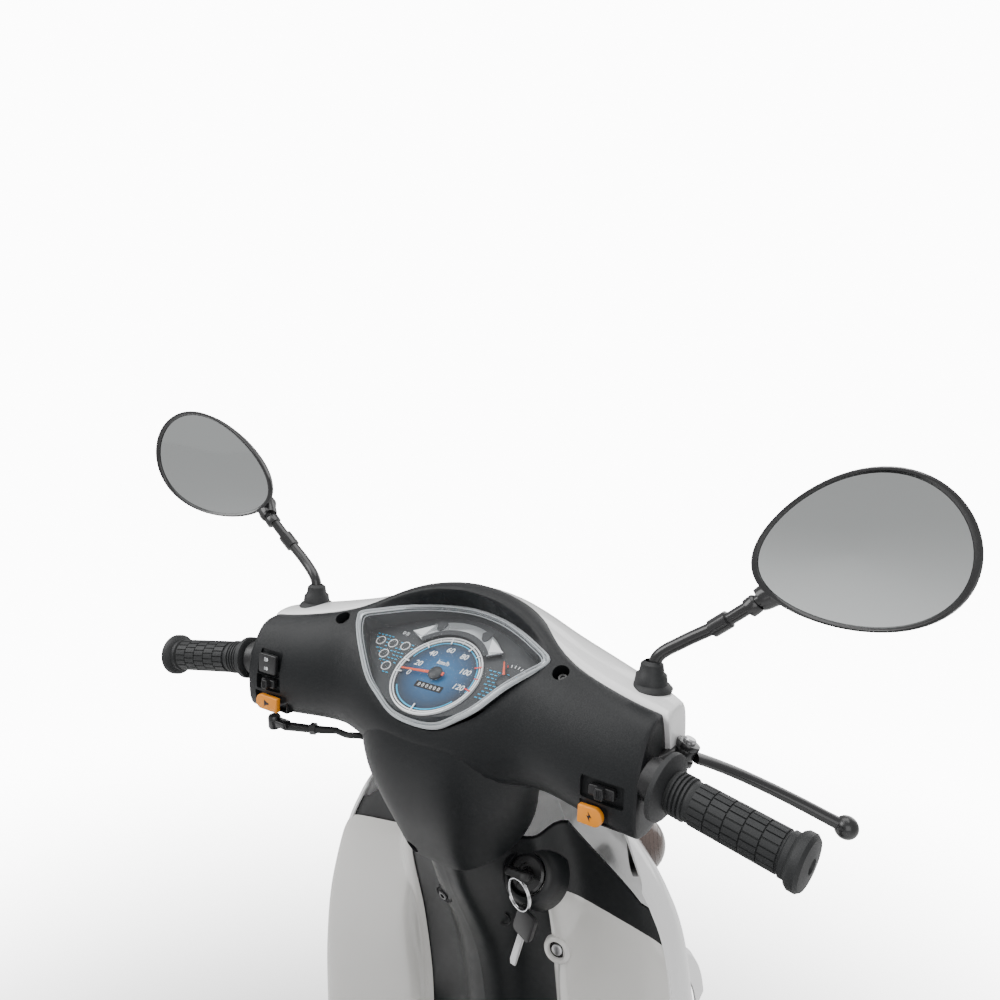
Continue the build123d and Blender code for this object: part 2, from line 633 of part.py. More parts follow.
def mirror_stem(side):
    """A mirror's rubber boot and bent stem, with the ball its head turns on."""
    with BuildSketch(Plane(origin=(250, side * 191, 1045), z_dir=(0.1, 0, 1))) as foot:
        Circle(15)
    with BuildSketch(Plane(origin=(252, side * 191, 1064), z_dir=(0.1, 0, 1))) as top:
        Circle(8)
    loft(sections=[foot.sketch, top.sketch])
    rod((250, side * 191, 1040.3), (250, side * 191, 1046), 10)
    pipe([(251, side * 191, 1055), (256, side * 193, 1072), (270, side * 215, 1082), (265, side * 240, 1100),
          (262, side * 270, 1127)], 8, 5)
    with Locations((262, side * 273, 1130)):
        Sphere(8)


with BuildPart() as mirror_stem_left:
    mirror_stem(1)
finish(mirror_stem_left, "mirror_stem_left")

with BuildPart() as mirror_stem_right:
    mirror_stem(-1)
finish(mirror_stem_right, "mirror_stem_right")


def mirror_head(side):
    """A mirror housing with its glass, hollowed where the stem's ball sits."""
    with BuildSketch(mirror_plane(side, 2)) as rim:
        Ellipse(82, 57)
    with BuildSketch(mirror_plane(side, -30)) as back:
        Ellipse(62, 42)
    loft(sections=[back.sketch, rim.sketch], ruled=True)
    with BuildSketch(mirror_plane(side, -2)) as recess:
        Ellipse(79, 54)
    extrude(recess.sketch, amount=10, mode=Mode.SUBTRACT)
    with BuildSketch(mirror_plane(side, -1.9)) as glass:
        Ellipse(78.8, 53.8)
    extrude(glass.sketch, amount=2.4)
    with Locations((262, side * 273, 1130)):
        Sphere(8.5, mode=Mode.SUBTRACT)
    rod((262, side * 273, 1130), (262, side * 240, 1097), 8.5, mode=Mode.SUBTRACT)


with BuildPart() as mirror_head_left:
    mirror_head(1)
finish(mirror_head_left, "mirror_head_left")

with BuildPart() as mirror_head_right:
    mirror_head(-1)
finish(mirror_head_right, "mirror_head_right")

# ---------------------------------------------------------------- front wheel and fork


def turned(centre, profile):
    """Turns an outline of (radius, y) points about a wheel axis."""
    with BuildSketch(Plane(origin=centre, x_dir=(1, 0, 0), z_dir=(0, 0, 1))) as section:
        with BuildLine():
            Polyline(*profile, close=True)
        make_face()
    revolve(section.sketch, axis=Axis(centre, (0, 1, 0)))


def ring(centre, inner, outer, low_y, high_y, mode=Mode.ADD):
    """Adds or cuts a plain ring or disc about a wheel axis."""
    with BuildSketch(Plane(origin=centre + Vector(0, low_y, 0), z_dir=(0, 1, 0))) as section:
        Circle(outer)
        if inner:
            Circle(inner, mode=Mode.SUBTRACT)
    extrude(section.sketch, amount=high_y - low_y, mode=mode)


def tyre(centre):
    """A tyre whose beads sit on the rim."""
    half = TYRE_W / 2 - 3
    turned(centre, [(RIM_R + 0.4, -32), (RIM_R + 14, -38), (RIM_R + 40, -half), (TYRE_R - 18, -half + 4),
                    (TYRE_R - 5, -24), (TYRE_R, 0), (TYRE_R - 5, 24), (TYRE_R - 18, half - 4),
                    (RIM_R + 40, half), (RIM_R + 14, 38), (RIM_R + 0.4, 32), (RIM_R + 12, 26),
                    (TYRE_R - 14, 22), (TYRE_R - 9, 0), (TYRE_R - 14, -22), (RIM_R + 12, -26)])


def rim(centre, hub_low, hub_high, bore):
    """A cast rim: barrel, five spokes, hub and brake drum."""
    turned(centre, [(RIM_R, -30), (RIM_R, -33), (RIM_R + 8, -39), (RIM_R + 8, -43), (RIM_R + 2, -43),
                    (RIM_R - 10, -34), (RIM_R - 10, 34), (RIM_R + 2, 43), (RIM_R + 8, 43), (RIM_R + 8, 39),
                    (RIM_R, 33)])
    ring(centre, 0, 30, hub_low, hub_high)
    ring(centre, 0, 64, -6, 24)
    for index in range(5):
        angle = radians(72 * index + 90)
        out = Vector(cos(angle), 0, sin(angle))
        with BuildSketch(Plane(origin=centre + out * 20, x_dir=(0, 1, 0), z_dir=out)) as spoke:
            RectangleRounded(30, 34, 8)
        extrude(spoke.sketch, amount=RIM_R - 24)
    ring(centre, 0, 58, 0, 25, mode=Mode.SUBTRACT)
    ring(centre, 0, 24, -1, hub_high)
    ring(centre, 0, bore, hub_low - 5, hub_high + 5, mode=Mode.SUBTRACT)


with BuildPart() as front_rim:
    rim(FRONT_AXLE, -34, 22, 7.5)
finish(front_rim, "front_rim")

with BuildPart() as front_tyre:
    tyre(FRONT_AXLE)
finish(front_tyre, "front_tyre")

with BuildPart() as fork_sliders:
    for side in (1, -1):
        rod(leg_plane(193, side * LEG_Y).origin, leg_plane(400, side * LEG_Y).origin, 19)
        rod(leg_plane(255, side * LEG_Y).origin, leg_plane(401, side * LEG_Y).origin, 14.4,
            mode=Mode.SUBTRACT)
    rod((AXLE_X, -100, TYRE_R), (AXLE_X, 100, TYRE_R), 7)
    ring(FRONT_AXLE, 0, 57, 29, 34)
    ring(FRONT_AXLE, 0, 22, 33, 52)
    block((600, 640), (34, 60), (215, 240))
finish(fork_sliders, "fork_sliders")

with BuildPart() as front_mudguard:
    arch(FRONT_AXLE, 228, 231, 46.5, 49.5, 192, 14, 168)
    for side in (1, -1):
        block((550, 580), (min(side * 46.5, side * 50.8), max(side * 46.5, side * 50.8)), (330, 400))
finish(front_mudguard, "front_mudguard")

# ---------------------------------------------------------------- engine unit
CRANK = Vector(-335, 0, 235)
with BuildPart() as crankcase:
    ring(CRANK, 0, 58, -56, 52)
    ring(CRANK, 0, 75, 50, 128)
    ring(REAR_AXLE, 0, 72, 50, 120)
    slab(xz(124), [(-335, 310), (-335, 160), (-620, 151), (-620, 295)], 72)
    block((-400, -292), (-52, 52), (265, 318))
    slab(xz(56), [(-300, 250), (-330, 330), (-280, 352), (-250, 352), (-246, 322), (-290, 262)], 112)
    block((-632, -592), (60, 76), (262, 312))
    ring(Vector(SHOCK_X, 0, 312), 0, 14, 58, 80)
    ring(Vector(SHOCK_X, 0, 312), 0, 8, 78, 104)
    block((-262 - 16, -262 + 16), (-34, 34), (300, 360), mode=Mode.SUBTRACT)
    ring(SWING_PIVOT, 0, 8.4, -60, 60, mode=Mode.SUBTRACT)
    ring(REAR_AXLE, 0, 9.6, 40, 78, mode=Mode.SUBTRACT)
    ring(Vector(-400, 0, 228), 0, 8.4, 100, 130, mode=Mode.SUBTRACT)
finish(crankcase, "crankcase")

with BuildPart() as cylinder_shroud:
    block((-276, -152), (-60, 49), (184, 300))
    fillet(cylinder_shroud.edges().filter_by(Axis.X), 22)
    ring(CRANK, 0, 70, -122, -56.3)
    block((-335, -264), (-118, -56.3), (190, 290))
    ring(CRANK, 0, 58.5, -56.3, 60, mode=Mode.SUBTRACT)
    slab(xz(70), [(-292, 240), (-345, 340), (-230, 340), (-248, 302), (-280, 260)], 140, mode=Mode.SUBTRACT)
finish(cylinder_shroud, "cylinder_shroud")

with BuildPart() as air_filter_box:
    block((-545, -405), (70, 128), (311, 372))
    fillet(air_filter_box.edges().filter_by(Axis.Y), 16)
finish(air_filter_box, "air_filter_box")

with BuildPart() as exhaust:
    rod((-420, -105, 200), (-770, -112, 262), 46)
    rod((-770, -112, 262), (-800, -113, 267), 12)
    pipe([(-175, -10, 183.7), (-175, -10, 148), (-176, -130, 148), (-380, -120, 172), (-425, -105, 200)],
         14, 12)
    block((-520, -440), (-66, -56), (230, 262))
finish(exhaust, "exhaust")

with BuildPart() as rear_rim:
    rim(REAR_AXLE, -40, 40, 5)
    ring(REAR_AXLE, 0, 9, -48, 72)
finish(rear_rim, "rear_rim")

with BuildPart() as rear_tyre:
    tyre(REAR_AXLE)
finish(rear_tyre, "rear_tyre")

with BuildPart() as kick_lever:
    ring(Vector(-400, 0, 228), 0, 8, 104, 146)
    ring(Vector(-400, 0, 228), 0, 15, 130, 148)
    rod((-400, 139, 228), (-540, 148, 262), 8)
    rod((-535, 144, 261), (-535, 206, 261), 10)
finish(kick_lever, "kick_lever")

SHOCK_LOW = Vector(SHOCK_X, 92, 312)
SHOCK_HIGH = Vector(SHOCK_X, 92, 615)
SHOCK_DIR = (SHOCK_HIGH - SHOCK_LOW).normalized()
with BuildPart() as shock_rod:
    ring(Vector(SHOCK_X, 0, 312), 0, 16, 84, 100)
    rod(SHOCK_LOW, SHOCK_LOW + SHOCK_DIR * 190, 6)
    rod(SHOCK_LOW + SHOCK_DIR * 26, SHOCK_LOW + SHOCK_DIR * 32, 27)
    ring(Vector(SHOCK_X, 0, 312), 0, 10, 80, 110, mode=Mode.SUBTRACT)
finish(shock_rod, "shock_rod")

with BuildPart() as shock_body:
    ring(SHOCK_HIGH - Vector(0, 92, 0), 0, 15, 84, 99)
    rod(SHOCK_HIGH - SHOCK_DIR * 200, SHOCK_HIGH, 15)
    rod(SHOCK_HIGH - SHOCK_DIR * 34, SHOCK_HIGH - SHOCK_DIR * 26, 27)
    rod(SHOCK_HIGH - SHOCK_DIR * 210, SHOCK_HIGH - SHOCK_DIR * 40, 6.5, mode=Mode.SUBTRACT)
    ring(SHOCK_HIGH - Vector(0, 92, 0), 0, 8.3, 70, 110, mode=Mode.SUBTRACT)
finish(shock_body, "shock_body")

with BuildPart() as shock_spring:
    with BuildLine() as coil:
        Helix(pitch=24, height=226, radius=21.5, center=SHOCK_LOW + SHOCK_DIR * 37.2, direction=SHOCK_DIR)
    with BuildSketch(Plane(origin=coil.line @ 0, z_dir=coil.line % 0)) as wire:
        Circle(4.5)
    sweep(sections=wire.sketch, path=coil.line, is_frenet=True)
finish(shock_spring, "shock_spring")

# ---------------------------------------------------------------- seat and stand
SEAT_PLAN = [(-24, 0), (-30, 66), (-80, 96), (-330, 122), (-500, 112), (-548, 84), (-556, 0)]
with BuildPart() as seat_base:
    slab(Plane.XY.offset(SEAT_Z), both_sides(SEAT_PLAN), 9)
    for side in (1, -1):
        block((-34, -26), (side * 26 - 5, side * 26 + 5), (690, SEAT_Z + 1))
    rod((-30, -30, 694), (-30, 30, 694), 5)
finish(seat_base, "seat_base")

with BuildPart() as seat_cushion:
    skin([(Plane.XY.offset(SEAT_Z + 9.1), both_sides(SEAT_PLAN)),
          (Plane.XY.offset(745), both_sides([(-28, 0), (-36, 70), (-84, 104), (-330, 130), (-500, 118),
                                             (-552, 88), (-562, 0)])),
          (Plane.XY.offset(772), both_sides([(-70, 0), (-90, 48), (-130, 70), (-330, 98), (-490, 88),
                                             (-530, 62), (-540, 0)]))])
finish(seat_cushion, "seat_cushion")

with BuildPart() as centre_stand:
    rod((STAND_PIVOT.X, -94, STAND_PIVOT.Z), (STAND_PIVOT.X, 94, STAND_PIVOT.Z), 14)
    for side in (1, -1):
        pipe([(-235, side * 78, 140), (-228, side * 84, 70), (-220, side * 128, 11), (-206, side * 158, 11)],
             16, 11)
    rod((-226, -88, 60), (-226, 88, 60), 8)
    rod((STAND_PIVOT.X, -110, STAND_PIVOT.Z), (STAND_PIVOT.X, 110, STAND_PIVOT.Z), 8.4, mode=Mode.SUBTRACT)
finish(centre_stand, "centre_stand")
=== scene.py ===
import bpy
import bmesh
import math
from mathutils import Matrix, Vector
from math import cos, sin, radians, pi


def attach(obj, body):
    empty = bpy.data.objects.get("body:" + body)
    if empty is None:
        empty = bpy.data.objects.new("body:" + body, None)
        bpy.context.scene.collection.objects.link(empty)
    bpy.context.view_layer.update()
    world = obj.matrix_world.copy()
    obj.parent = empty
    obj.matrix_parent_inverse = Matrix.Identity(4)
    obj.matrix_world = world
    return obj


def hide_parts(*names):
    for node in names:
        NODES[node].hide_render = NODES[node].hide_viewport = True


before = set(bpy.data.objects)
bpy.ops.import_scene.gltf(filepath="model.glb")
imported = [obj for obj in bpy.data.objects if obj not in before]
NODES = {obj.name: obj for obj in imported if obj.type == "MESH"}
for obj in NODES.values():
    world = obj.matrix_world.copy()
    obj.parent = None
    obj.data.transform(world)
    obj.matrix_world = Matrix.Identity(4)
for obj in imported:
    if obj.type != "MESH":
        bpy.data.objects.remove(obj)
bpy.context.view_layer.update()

MM = 0.001
RAKE = radians(26.5)  # the steering axis leans back from the vertical
AXIS_X = 700  # where the steering axis meets the ground
COVER_FOOT = 971  # the covers end here, along the steering axis, above the body
BODY_TOP = 965  # the body ends here, along the steering axis
GRAIN_DEPTH = 0.0004
MOTTLE_SCALE = 14.0
WHITE_OUT = 12.0  # strength of the white behind the object


# ------------------------------------------------------------------ materials
def fill(node, inputs):
    """Sets a node's inputs."""
    for key, value in inputs.items():
        node.inputs[key].default_value = value
    return node


def add(tree, kind, inputs=(), **settings):
    """A new shader node with its settings and inputs."""
    node = tree.nodes.new("ShaderNode" + kind)
    for key, value in settings.items():
        setattr(node, key, value)
    return fill(node, dict(inputs))


def shader(name, color, rough=0.5, metal=0.0, grain=0.0, scale=900.0, mottle=0.0, coat=0.0, spec=0.5,
           emit=0.0):
    """A principled material with a fine bump and a slight unevenness of colour and gloss."""
    m = bpy.data.materials.new(name)
    m.use_nodes = True
    tree = m.node_tree
    link = tree.links.new
    p = fill(tree.nodes["Principled BSDF"], {
        "Base Color": (*color, 1), "Roughness": rough, "Metallic": metal, "Coat Weight": coat,
        "Coat Roughness": 0.06, "Specular IOR Level": spec})
    if emit:
        fill(p, {"Emission Color": (*color, 1), "Emission Strength": emit})
    at = add(tree, "TexCoord").outputs["Object"]
    if grain:
        fine = add(tree, "TexNoise", {"Scale": scale, "Detail": 3.0})
        bump = add(tree, "Bump", {"Strength": grain, "Distance": GRAIN_DEPTH})
        link(at, fine.inputs["Vector"])
        link(fine.outputs["Fac"], bump.inputs["Height"])
        link(bump.outputs["Normal"], p.inputs["Normal"])
    if mottle:
        wide = add(tree, "TexNoise", {"Scale": MOTTLE_SCALE, "Detail": 5.0})
        gloss = add(tree, "MapRange", {"From Min": 0.3, "From Max": 0.7,
                                       "To Min": max(0.02, rough - mottle),
                                       "To Max": min(1.0, rough + mottle)})
        tone = add(tree, "Mix", data_type="RGBA")
        tone.inputs["A"].default_value = (*[c * (1 - mottle * 0.5) for c in color], 1)
        tone.inputs["B"].default_value = (*[min(1, c * (1 + mottle * 0.5)) for c in color], 1)
        link(at, wide.inputs["Vector"])
        link(wide.outputs["Fac"], gloss.inputs["Value"])
        link(gloss.outputs["Result"], p.inputs["Roughness"])
        link(wide.outputs["Fac"], tone.inputs["Factor"])
        link(tone.outputs["Result"], p.inputs["Base Color"])
    return m


def lens_material(name, color, see_through, rough=0.03, most=1.0):
    """A thin moulded window: mostly see-through, with a Fresnel gloss on top."""
    m = bpy.data.materials.new(name)
    m.use_nodes = True
    tree = m.node_tree
    link = tree.links.new
    tree.nodes.clear()
    out = add(tree, "OutputMaterial")
    clear = add(tree, "BsdfTransparent", {"Color": (*color, 1)})
    gloss = add(tree, "BsdfPrincipled", {"Base Color": (*color, 1), "Roughness": rough})
    edge = add(tree, "LayerWeight", {"Blend": 0.35})
    span = add(tree, "MapRange", {"To Min": 1 - see_through, "To Max": most})
    mix = add(tree, "MixShader")
    wave = add(tree, "TexNoise", {"Scale": 30.0})
    bump = add(tree, "Bump", {"Strength": 0.04})
    link(wave.outputs["Fac"], bump.inputs["Height"])
    link(bump.outputs["Normal"], gloss.inputs["Normal"])
    link(edge.outputs["Fresnel"], span.inputs["Value"])
    link(span.outputs["Result"], mix.inputs["Fac"])
    link(clear.outputs["BSDF"], mix.inputs[1])
    link(gloss.outputs["BSDF"], mix.inputs[2])
    link(mix.outputs["Shader"], out.inputs["Surface"])
    return m


M = {
    "black": shader("black_plastic", (0.009, 0.010, 0.0112), 0.44, grain=0.5, scale=1500, mottle=0.05,
                    spec=0.3),
    "shield_black": shader("shield_black", (0.010, 0.011, 0.012), 0.38, grain=0.35, scale=1500,
                           mottle=0.05, spec=0.38),
    "switch_black": shader("switch_black", (0.012, 0.012, 0.013), 0.38, grain=0.15, scale=1800,
                           mottle=0.04),
    "white": shader("white_plastic", (0.90, 0.90, 0.90), 0.14, coat=0.6, mottle=0.03, grain=0.02, scale=60),
    # The knee panels' white is darker than the white plastic: painted shade.
    "knee_white_painted_shade": shader("knee_white_painted_shade", (0.68, 0.67, 0.645), 0.16, coat=0.5, mottle=0.04, grain=0.02,
                         scale=50),
    "rubber": shader("rubber", (0.012, 0.013, 0.014), 0.58, grain=0.35, scale=1100, mottle=0.08),
    # Near-black: the odometer window's own black, and painted shade in the screw recesses.
    "hole_and_painted_shade": shader("hole_black_and_painted_shade", (0.004, 0.004, 0.004), 0.7, grain=0.1, mottle=0.05),
    "steel": shader("steel", (0.62, 0.62, 0.63), 0.28, 1.0, grain=0.12, scale=500, mottle=0.08),
    "chrome": shader("chrome", (0.75, 0.75, 0.77), 0.10, 1.0, grain=0.03, scale=90, mottle=0.04),
    "silver": shader("silver_plastic", (0.50, 0.52, 0.53), 0.30, 0.55, grain=0.08, scale=700, mottle=0.05),
    "alu": shader("cast_aluminium", (0.55, 0.56, 0.57), 0.42, 0.9, grain=0.45, scale=420, mottle=0.1),
    "paint": shader("black_paint", (0.016, 0.016, 0.017), 0.28, coat=0.3, grain=0.08, scale=300,
                    mottle=0.06),
    "orange": shader("orange_plastic", (0.80, 0.27, 0.012), 0.36, grain=0.08, scale=900, mottle=0.04),
    # The needle and the white, cyan and red print carry a small emission: a painted glow, as they are no
    # lamps.
    "needle": shader("needle_red_painted_glow", (0.90, 0.10, 0.03), 0.4, grain=0.05, mottle=0.03, emit=0.12),
    "print": shader("white_print_painted_glow", (0.85, 0.87, 0.88), 0.5, grain=0.05, mottle=0.03, emit=0.10),
    "cyan": shader("cyan_print_painted_glow", (0.02, 0.42, 0.72), 0.5, grain=0.05, mottle=0.03, emit=0.08),
    "red": shader("red_print_painted_glow", (0.75, 0.05, 0.04), 0.5, grain=0.05, mottle=0.03, emit=0.05),
    "yellow": shader("yellow_lamp", (0.85, 0.75, 0.02), 0.4, grain=0.05, mottle=0.03, emit=0.1),
    "face_dark": shader("dial_dark", (0.030, 0.034, 0.038), 0.45, grain=0.05, scale=700, mottle=0.05),
    "tyre": shader("tyre_rubber", (0.018, 0.018, 0.019), 0.72, grain=0.3, scale=300, mottle=0.08),
    "vinyl": shader("seat_vinyl", (0.016, 0.016, 0.017), 0.48, grain=0.6, scale=260, mottle=0.06),
    "glass": shader("mirror_silver", (0.62, 0.64, 0.64), 0.03, 1.0, grain=0.01, scale=8, mottle=0.015),
    "red_lens": shader("red_lens", (0.45, 0.01, 0.01), 0.12, coat=0.8, grain=0.05, scale=200, mottle=0.05),
    "smoked": shader("smoked_lens", (0.105, 0.075, 0.065), 0.22, coat=0.7, grain=0.25, scale=90,
                     mottle=0.08),
    "clear": lens_material("clear_lens", (0.985, 0.99, 0.995), 0.985, 0.03, 0.28),
    "lamp": lens_material("lamp_lens", (0.95, 0.96, 0.97), 0.75, 0.05),
    "exhaust": shader("exhaust_black", (0.022, 0.021, 0.020), 0.55, 0.3, grain=0.3, scale=400, mottle=0.12),
}


def dial_blue():
    """A dial whose blue glows at the middle and fades to black, under a fine dot screen."""
    m = shader("dial_blue", (0.01, 0.12, 0.3), 0.42, grain=0.05, mottle=0.02)
    tree = m.node_tree
    link = tree.links.new
    base = tree.nodes["Principled BSDF"].inputs["Base Color"]
    at = add(tree, "TexCoord").outputs["Object"]
    away = add(tree, "VectorMath", operation="DISTANCE")
    away.inputs[1].default_value = (*DIAL_AT,)
    span = add(tree, "MapRange", {"From Max": 0.040})
    ramp = add(tree, "ValToRGB")
    stops = ramp.color_ramp.elements
    stops[0].position, stops[0].color = 0.0, (0.015, 0.20, 0.46, 1)
    stops[1].position, stops[1].color = 1.0, (0.008, 0.012, 0.018, 1)
    stops.new(0.5).color = (0.008, 0.10, 0.25, 1)
    dots = add(tree, "TexVoronoi", {"Scale": 900.0})
    dim = add(tree, "MapRange", {"To Min": 1.15, "To Max": 0.7})
    tint = add(tree, "Mix", data_type="RGBA", blend_type="MULTIPLY")
    tint.inputs["Factor"].default_value = 1.0
    link(at, away.inputs[0])
    link(away.outputs["Value"], span.inputs["Value"])
    link(span.outputs["Result"], ramp.inputs["Fac"])
    link(at, dots.inputs["Vector"])
    link(dots.outputs["Distance"], dim.inputs["Value"])
    link(ramp.outputs["Color"], tint.inputs["A"])
    link(dim.outputs["Result"], tint.inputs["B"])
    link(tint.outputs["Result"], base)
    return m


# ------------------------------------------------------------------ mesh making
def new(name, verts, faces, mat):
    """A mesh object from points in millimetres."""
    me = bpy.data.meshes.new(name)
    me.from_pydata([tuple(Vector(v) * MM) for v in verts], [], faces)
    me.update()
    o = bpy.data.objects.new(name, me)
    bpy.context.scene.collection.objects.link(o)
    if mat:
        me.materials.append(M[mat])
    bm = bmesh.new()
    bm.from_mesh(me)
    bmesh.ops.recalc_face_normals(bm, faces=bm.faces)
    bm.to_mesh(me)
    bm.free()
    return o


def bake(o):
    """Applies an object's modifiers."""
    bpy.context.view_layer.update()
    me = bpy.data.meshes.new_from_object(o.evaluated_get(bpy.context.evaluated_depsgraph_get()))
    o.modifiers.clear()
    o.data = me
    return o


def smooth(o, angle=38):
    o.data.polygons.foreach_set("use_smooth", [True] * len(o.data.polygons))
    o.data.set_sharp_from_angle(angle=radians(angle))
    return o


def subsurf(o, levels=2):
    s = o.modifiers.new("s", "SUBSURF")
    s.levels = s.render_levels = levels
    return bake(o)


def solid(o, thickness, offset=-1.0):
    s = o.modifiers.new("t", "SOLIDIFY")
    s.thickness = thickness * MM
    s.offset = offset
    s.use_even_offset = True
    return bake(o)


def bevel(o, width, segments=2, angle=35):
    b = o.modifiers.new("b", "BEVEL")
    b.width = width * MM
    b.segments = segments
    b.limit_method = "ANGLE"
    b.angle_limit = radians(angle)
    return bake(o)


def cut(o, *tools):
    """Cuts tools out of o and removes them."""
    for tool in tools:
        b = o.modifiers.new("c", "BOOLEAN")
        b.operation = "DIFFERENCE"
        b.solver = "EXACT"
        b.object = tool
        bake(o)
        bpy.data.objects.remove(tool)
    return o


def join(name, parts):
    """Joins objects into one, keeping their materials."""
    bm_verts, faces, mats, slots = [], [], [], []
    for o in parts:
        base = len(bm_verts)
        bm_verts += [o.matrix_world @ v.co for v in o.data.vertices]
        for poly in o.data.polygons:
            faces.append([base + i for i in poly.vertices])
            mat = o.data.materials[poly.material_index] if o.data.materials else None
            if mat not in mats:
                mats.append(mat)
            slots.append((mats.index(mat), poly.use_smooth))
    me = bpy.data.meshes.new(name)
    me.from_pydata([tuple(v) for v in bm_verts], [], faces)
    for mat in mats:
        me.materials.append(mat)
    for poly, (index, flag) in zip(me.polygons, slots):
        poly.material_index = index
        poly.use_smooth = flag
    me.update()
    o = bpy.data.objects.new(name, me)
    bpy.context.scene.collection.objects.link(o)
    for part in parts:
        bpy.data.objects.remove(part)
    return o


def put(o, body, *nodes, slot=None, angle=38):
    """A finished piece: smooth-shaded, riding a body and standing for nodes."""
    smooth(o, angle)
    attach(o, body)
    if nodes:
        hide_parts(*nodes)
    return o


def ring_faces(rows, cols, closed=True):
    faces = []
    for i in range(rows - 1):
        for j in range(cols if closed else cols - 1):
            a, b = i * cols + j, i * cols + (j + 1) % cols
            faces.append((a, b, b + cols, a + cols))
    return faces


def loft(name, rings, mat, caps=True, closed=True):
    cols = len(rings[0])
    verts = [p for ring in rings for p in ring]
    faces = ring_faces(len(rings), cols, closed)
    if caps and closed:
        faces.append(tuple(range(cols)))
        faces.append(tuple(len(verts) - cols + k for k in range(cols)))
    return new(name, verts, faces, mat)


def frame_of(axis, hint=(0, 0, 1)):
    """Two directions across an axis."""
    w = Vector(axis).normalized()
    h = Vector(hint)
    if abs(w.dot(h)) > 0.95:
        h = Vector((1, 0, 0))
    u = h.cross(w).normalized()
    return u, w.cross(u), w


def spun(u, v, k, count):
    """The direction k steps of a turn in count from u towards v."""
    a = 2 * pi * k / count
    return u * cos(a) + v * sin(a)


def lathe(name, origin, axis, profile, mat, segments=48):
    """Turns (radius, height) points about an axis."""
    u, v, w = frame_of(axis)
    o = Vector(origin)
    rings = []
    for r, h in profile:
        rings.append([o + w * h + spun(u, v, k, segments) * max(r, 0.01) for k in range(segments)])
    return loft(name, rings, mat, caps=profile[0][0] < 1 and profile[-1][0] < 1)


def between(a, b, c, d, t):
    """A smooth curve through four values, at t from b to c."""
    return 0.5 * ((2 * b) + (c - a) * t + (2 * a - 5 * b + 4 * c - d) * t * t
                  + (3 * b - a - 3 * c + d) * t ** 3)


def spline(points, steps=8):
    """A smooth line through points."""
    p = [Vector(q) for q in points]
    p = [p[0] * 2 - p[1], *p, p[-1] * 2 - p[-2]]
    out = []
    for i in range(1, len(p) - 2):
        for k in range(steps):
            out.append(between(*p[i - 1:i + 3], k / steps))
    return [*out, p[-2]]


def tube(name, points, radius, mat, steps=8, segments=20, straight=False):
    """A round bar along a line; radius is a number or a function of 0 to 1."""
    line = [Vector(q) for q in points] if straight else spline(points, steps)
    u, v, w = frame_of(line[1] - line[0])
    rings = []
    for i, q in enumerate(line):
        d = (line[min(i + 1, len(line) - 1)] - line[max(i - 1, 0)]).normalized()
        u = (u - d * u.dot(d)).normalized()
        v = d.cross(u)
        r = radius(i / (len(line) - 1)) if callable(radius) else radius
        rings.append([q + (u * cos(2 * pi * k / segments) + v * sin(2 * pi * k / segments)) * r
                      for k in range(segments)])
    return loft(name, rings, mat)


def plate(name, origin, xdir, ydir, outline, low, high, mat, round_edge=0.0):
    """An outline on a plane, pushed from low to high along its normal."""
    x, y = Vector(xdir).normalized(), Vector(ydir).normalized()
    n = x.cross(y)
    o = Vector(origin)
    rings = [[o + x * a + y * b + n * h for a, b in outline] for h in (low, high)]
    made = loft(name, rings, mat)
    return bevel(made, round_edge) if round_edge else made


def rounded(half_x, half_y, radius, corner=5):
    """A rounded rectangle's outline."""
    out = []
    for cx, cy, start in [(1, 1, 0), (-1, 1, 90), (-1, -1, 180), (1, -1, 270)]:
        for k in range(corner + 1):
            a = radians(start + 90 * k / corner)
            out.append((cx * (half_x - radius) + radius * cos(a), cy * (half_y - radius) + radius * sin(a)))
    return out


def circle(radius, segments=40, at=(0, 0)):
    return [(at[0] + radius * cos(2 * pi * k / segments), at[1] + radius * sin(2 * pi * k / segments))
            for k in range(segments)]


def screw(name, at, out, radius, body, depth=2.0, mat="steel"):
    """A socket screw's head seen in its recess."""
    head = lathe(name, at, out, [(0.01, 0), (radius, 0), (radius, depth * 0.7), (radius * 0.85, depth),
                                 (radius * 0.5, depth), (radius * 0.45, depth * 0.4), (0.01, depth * 0.4)],
                                 mat, 24)
    return put(head, body, angle=30)


# ------------------------------------------------------------------ instruments
DIAL = Vector((212, 0, 1022))
DIAL_AT = DIAL * MM
DX, DU = Vector((0, -1, 0)), Vector((cos(radians(29)), 0, sin(radians(29))))
DN = DX.cross(DU)
M["dial_blue"] = dial_blue()


def on_dial(x, y, h=0.0):
    return DIAL + DX * x + DU * y + DN * h


RIM_HALF = [(0, 177, 989), (25, 178, 992), (45, 182, 1003), (62, 187, 1015), (82, 200, 1034),
            (98, 214, 1046),
            (107, 225, 1052), (106, 230, 1057), (90, 240, 1060), (65, 253, 1064), (35, 266, 1066),
            (0, 272, 1067)]
RIM = [Vector((x, -y, z)) for y, x, z in RIM_HALF] + [Vector((x, y, z)) for y, x, z in RIM_HALF[-2:0:-1]]


def smooth_ring(points, steps=5):
    n = len(points)
    out = []
    for i in range(n):
        a, b, c, d = (points[(i + k - 1) % n] for k in range(4))
        for k in range(steps):
            t = k / steps
            out.append(0.5 * ((2 * b) + (c - a) * t + (2 * a - 5 * b + 4 * c - d) * t * t
                              + (3 * b - a - 3 * c + d) * t ** 3))
    return out


RIM_FINE = smooth_ring(RIM)


def dial_xy(p):
    q = p - DIAL
    return q.dot(DX), q.dot(DU), q.dot(DN)


def shrunk(share, lift=0.0):
    """The rim drawn in towards the dial's middle and moved along its normal."""
    middle = on_dial(0, 10, 14)
    return [middle + (p - middle) * share + DN * lift for p in RIM_FINE]


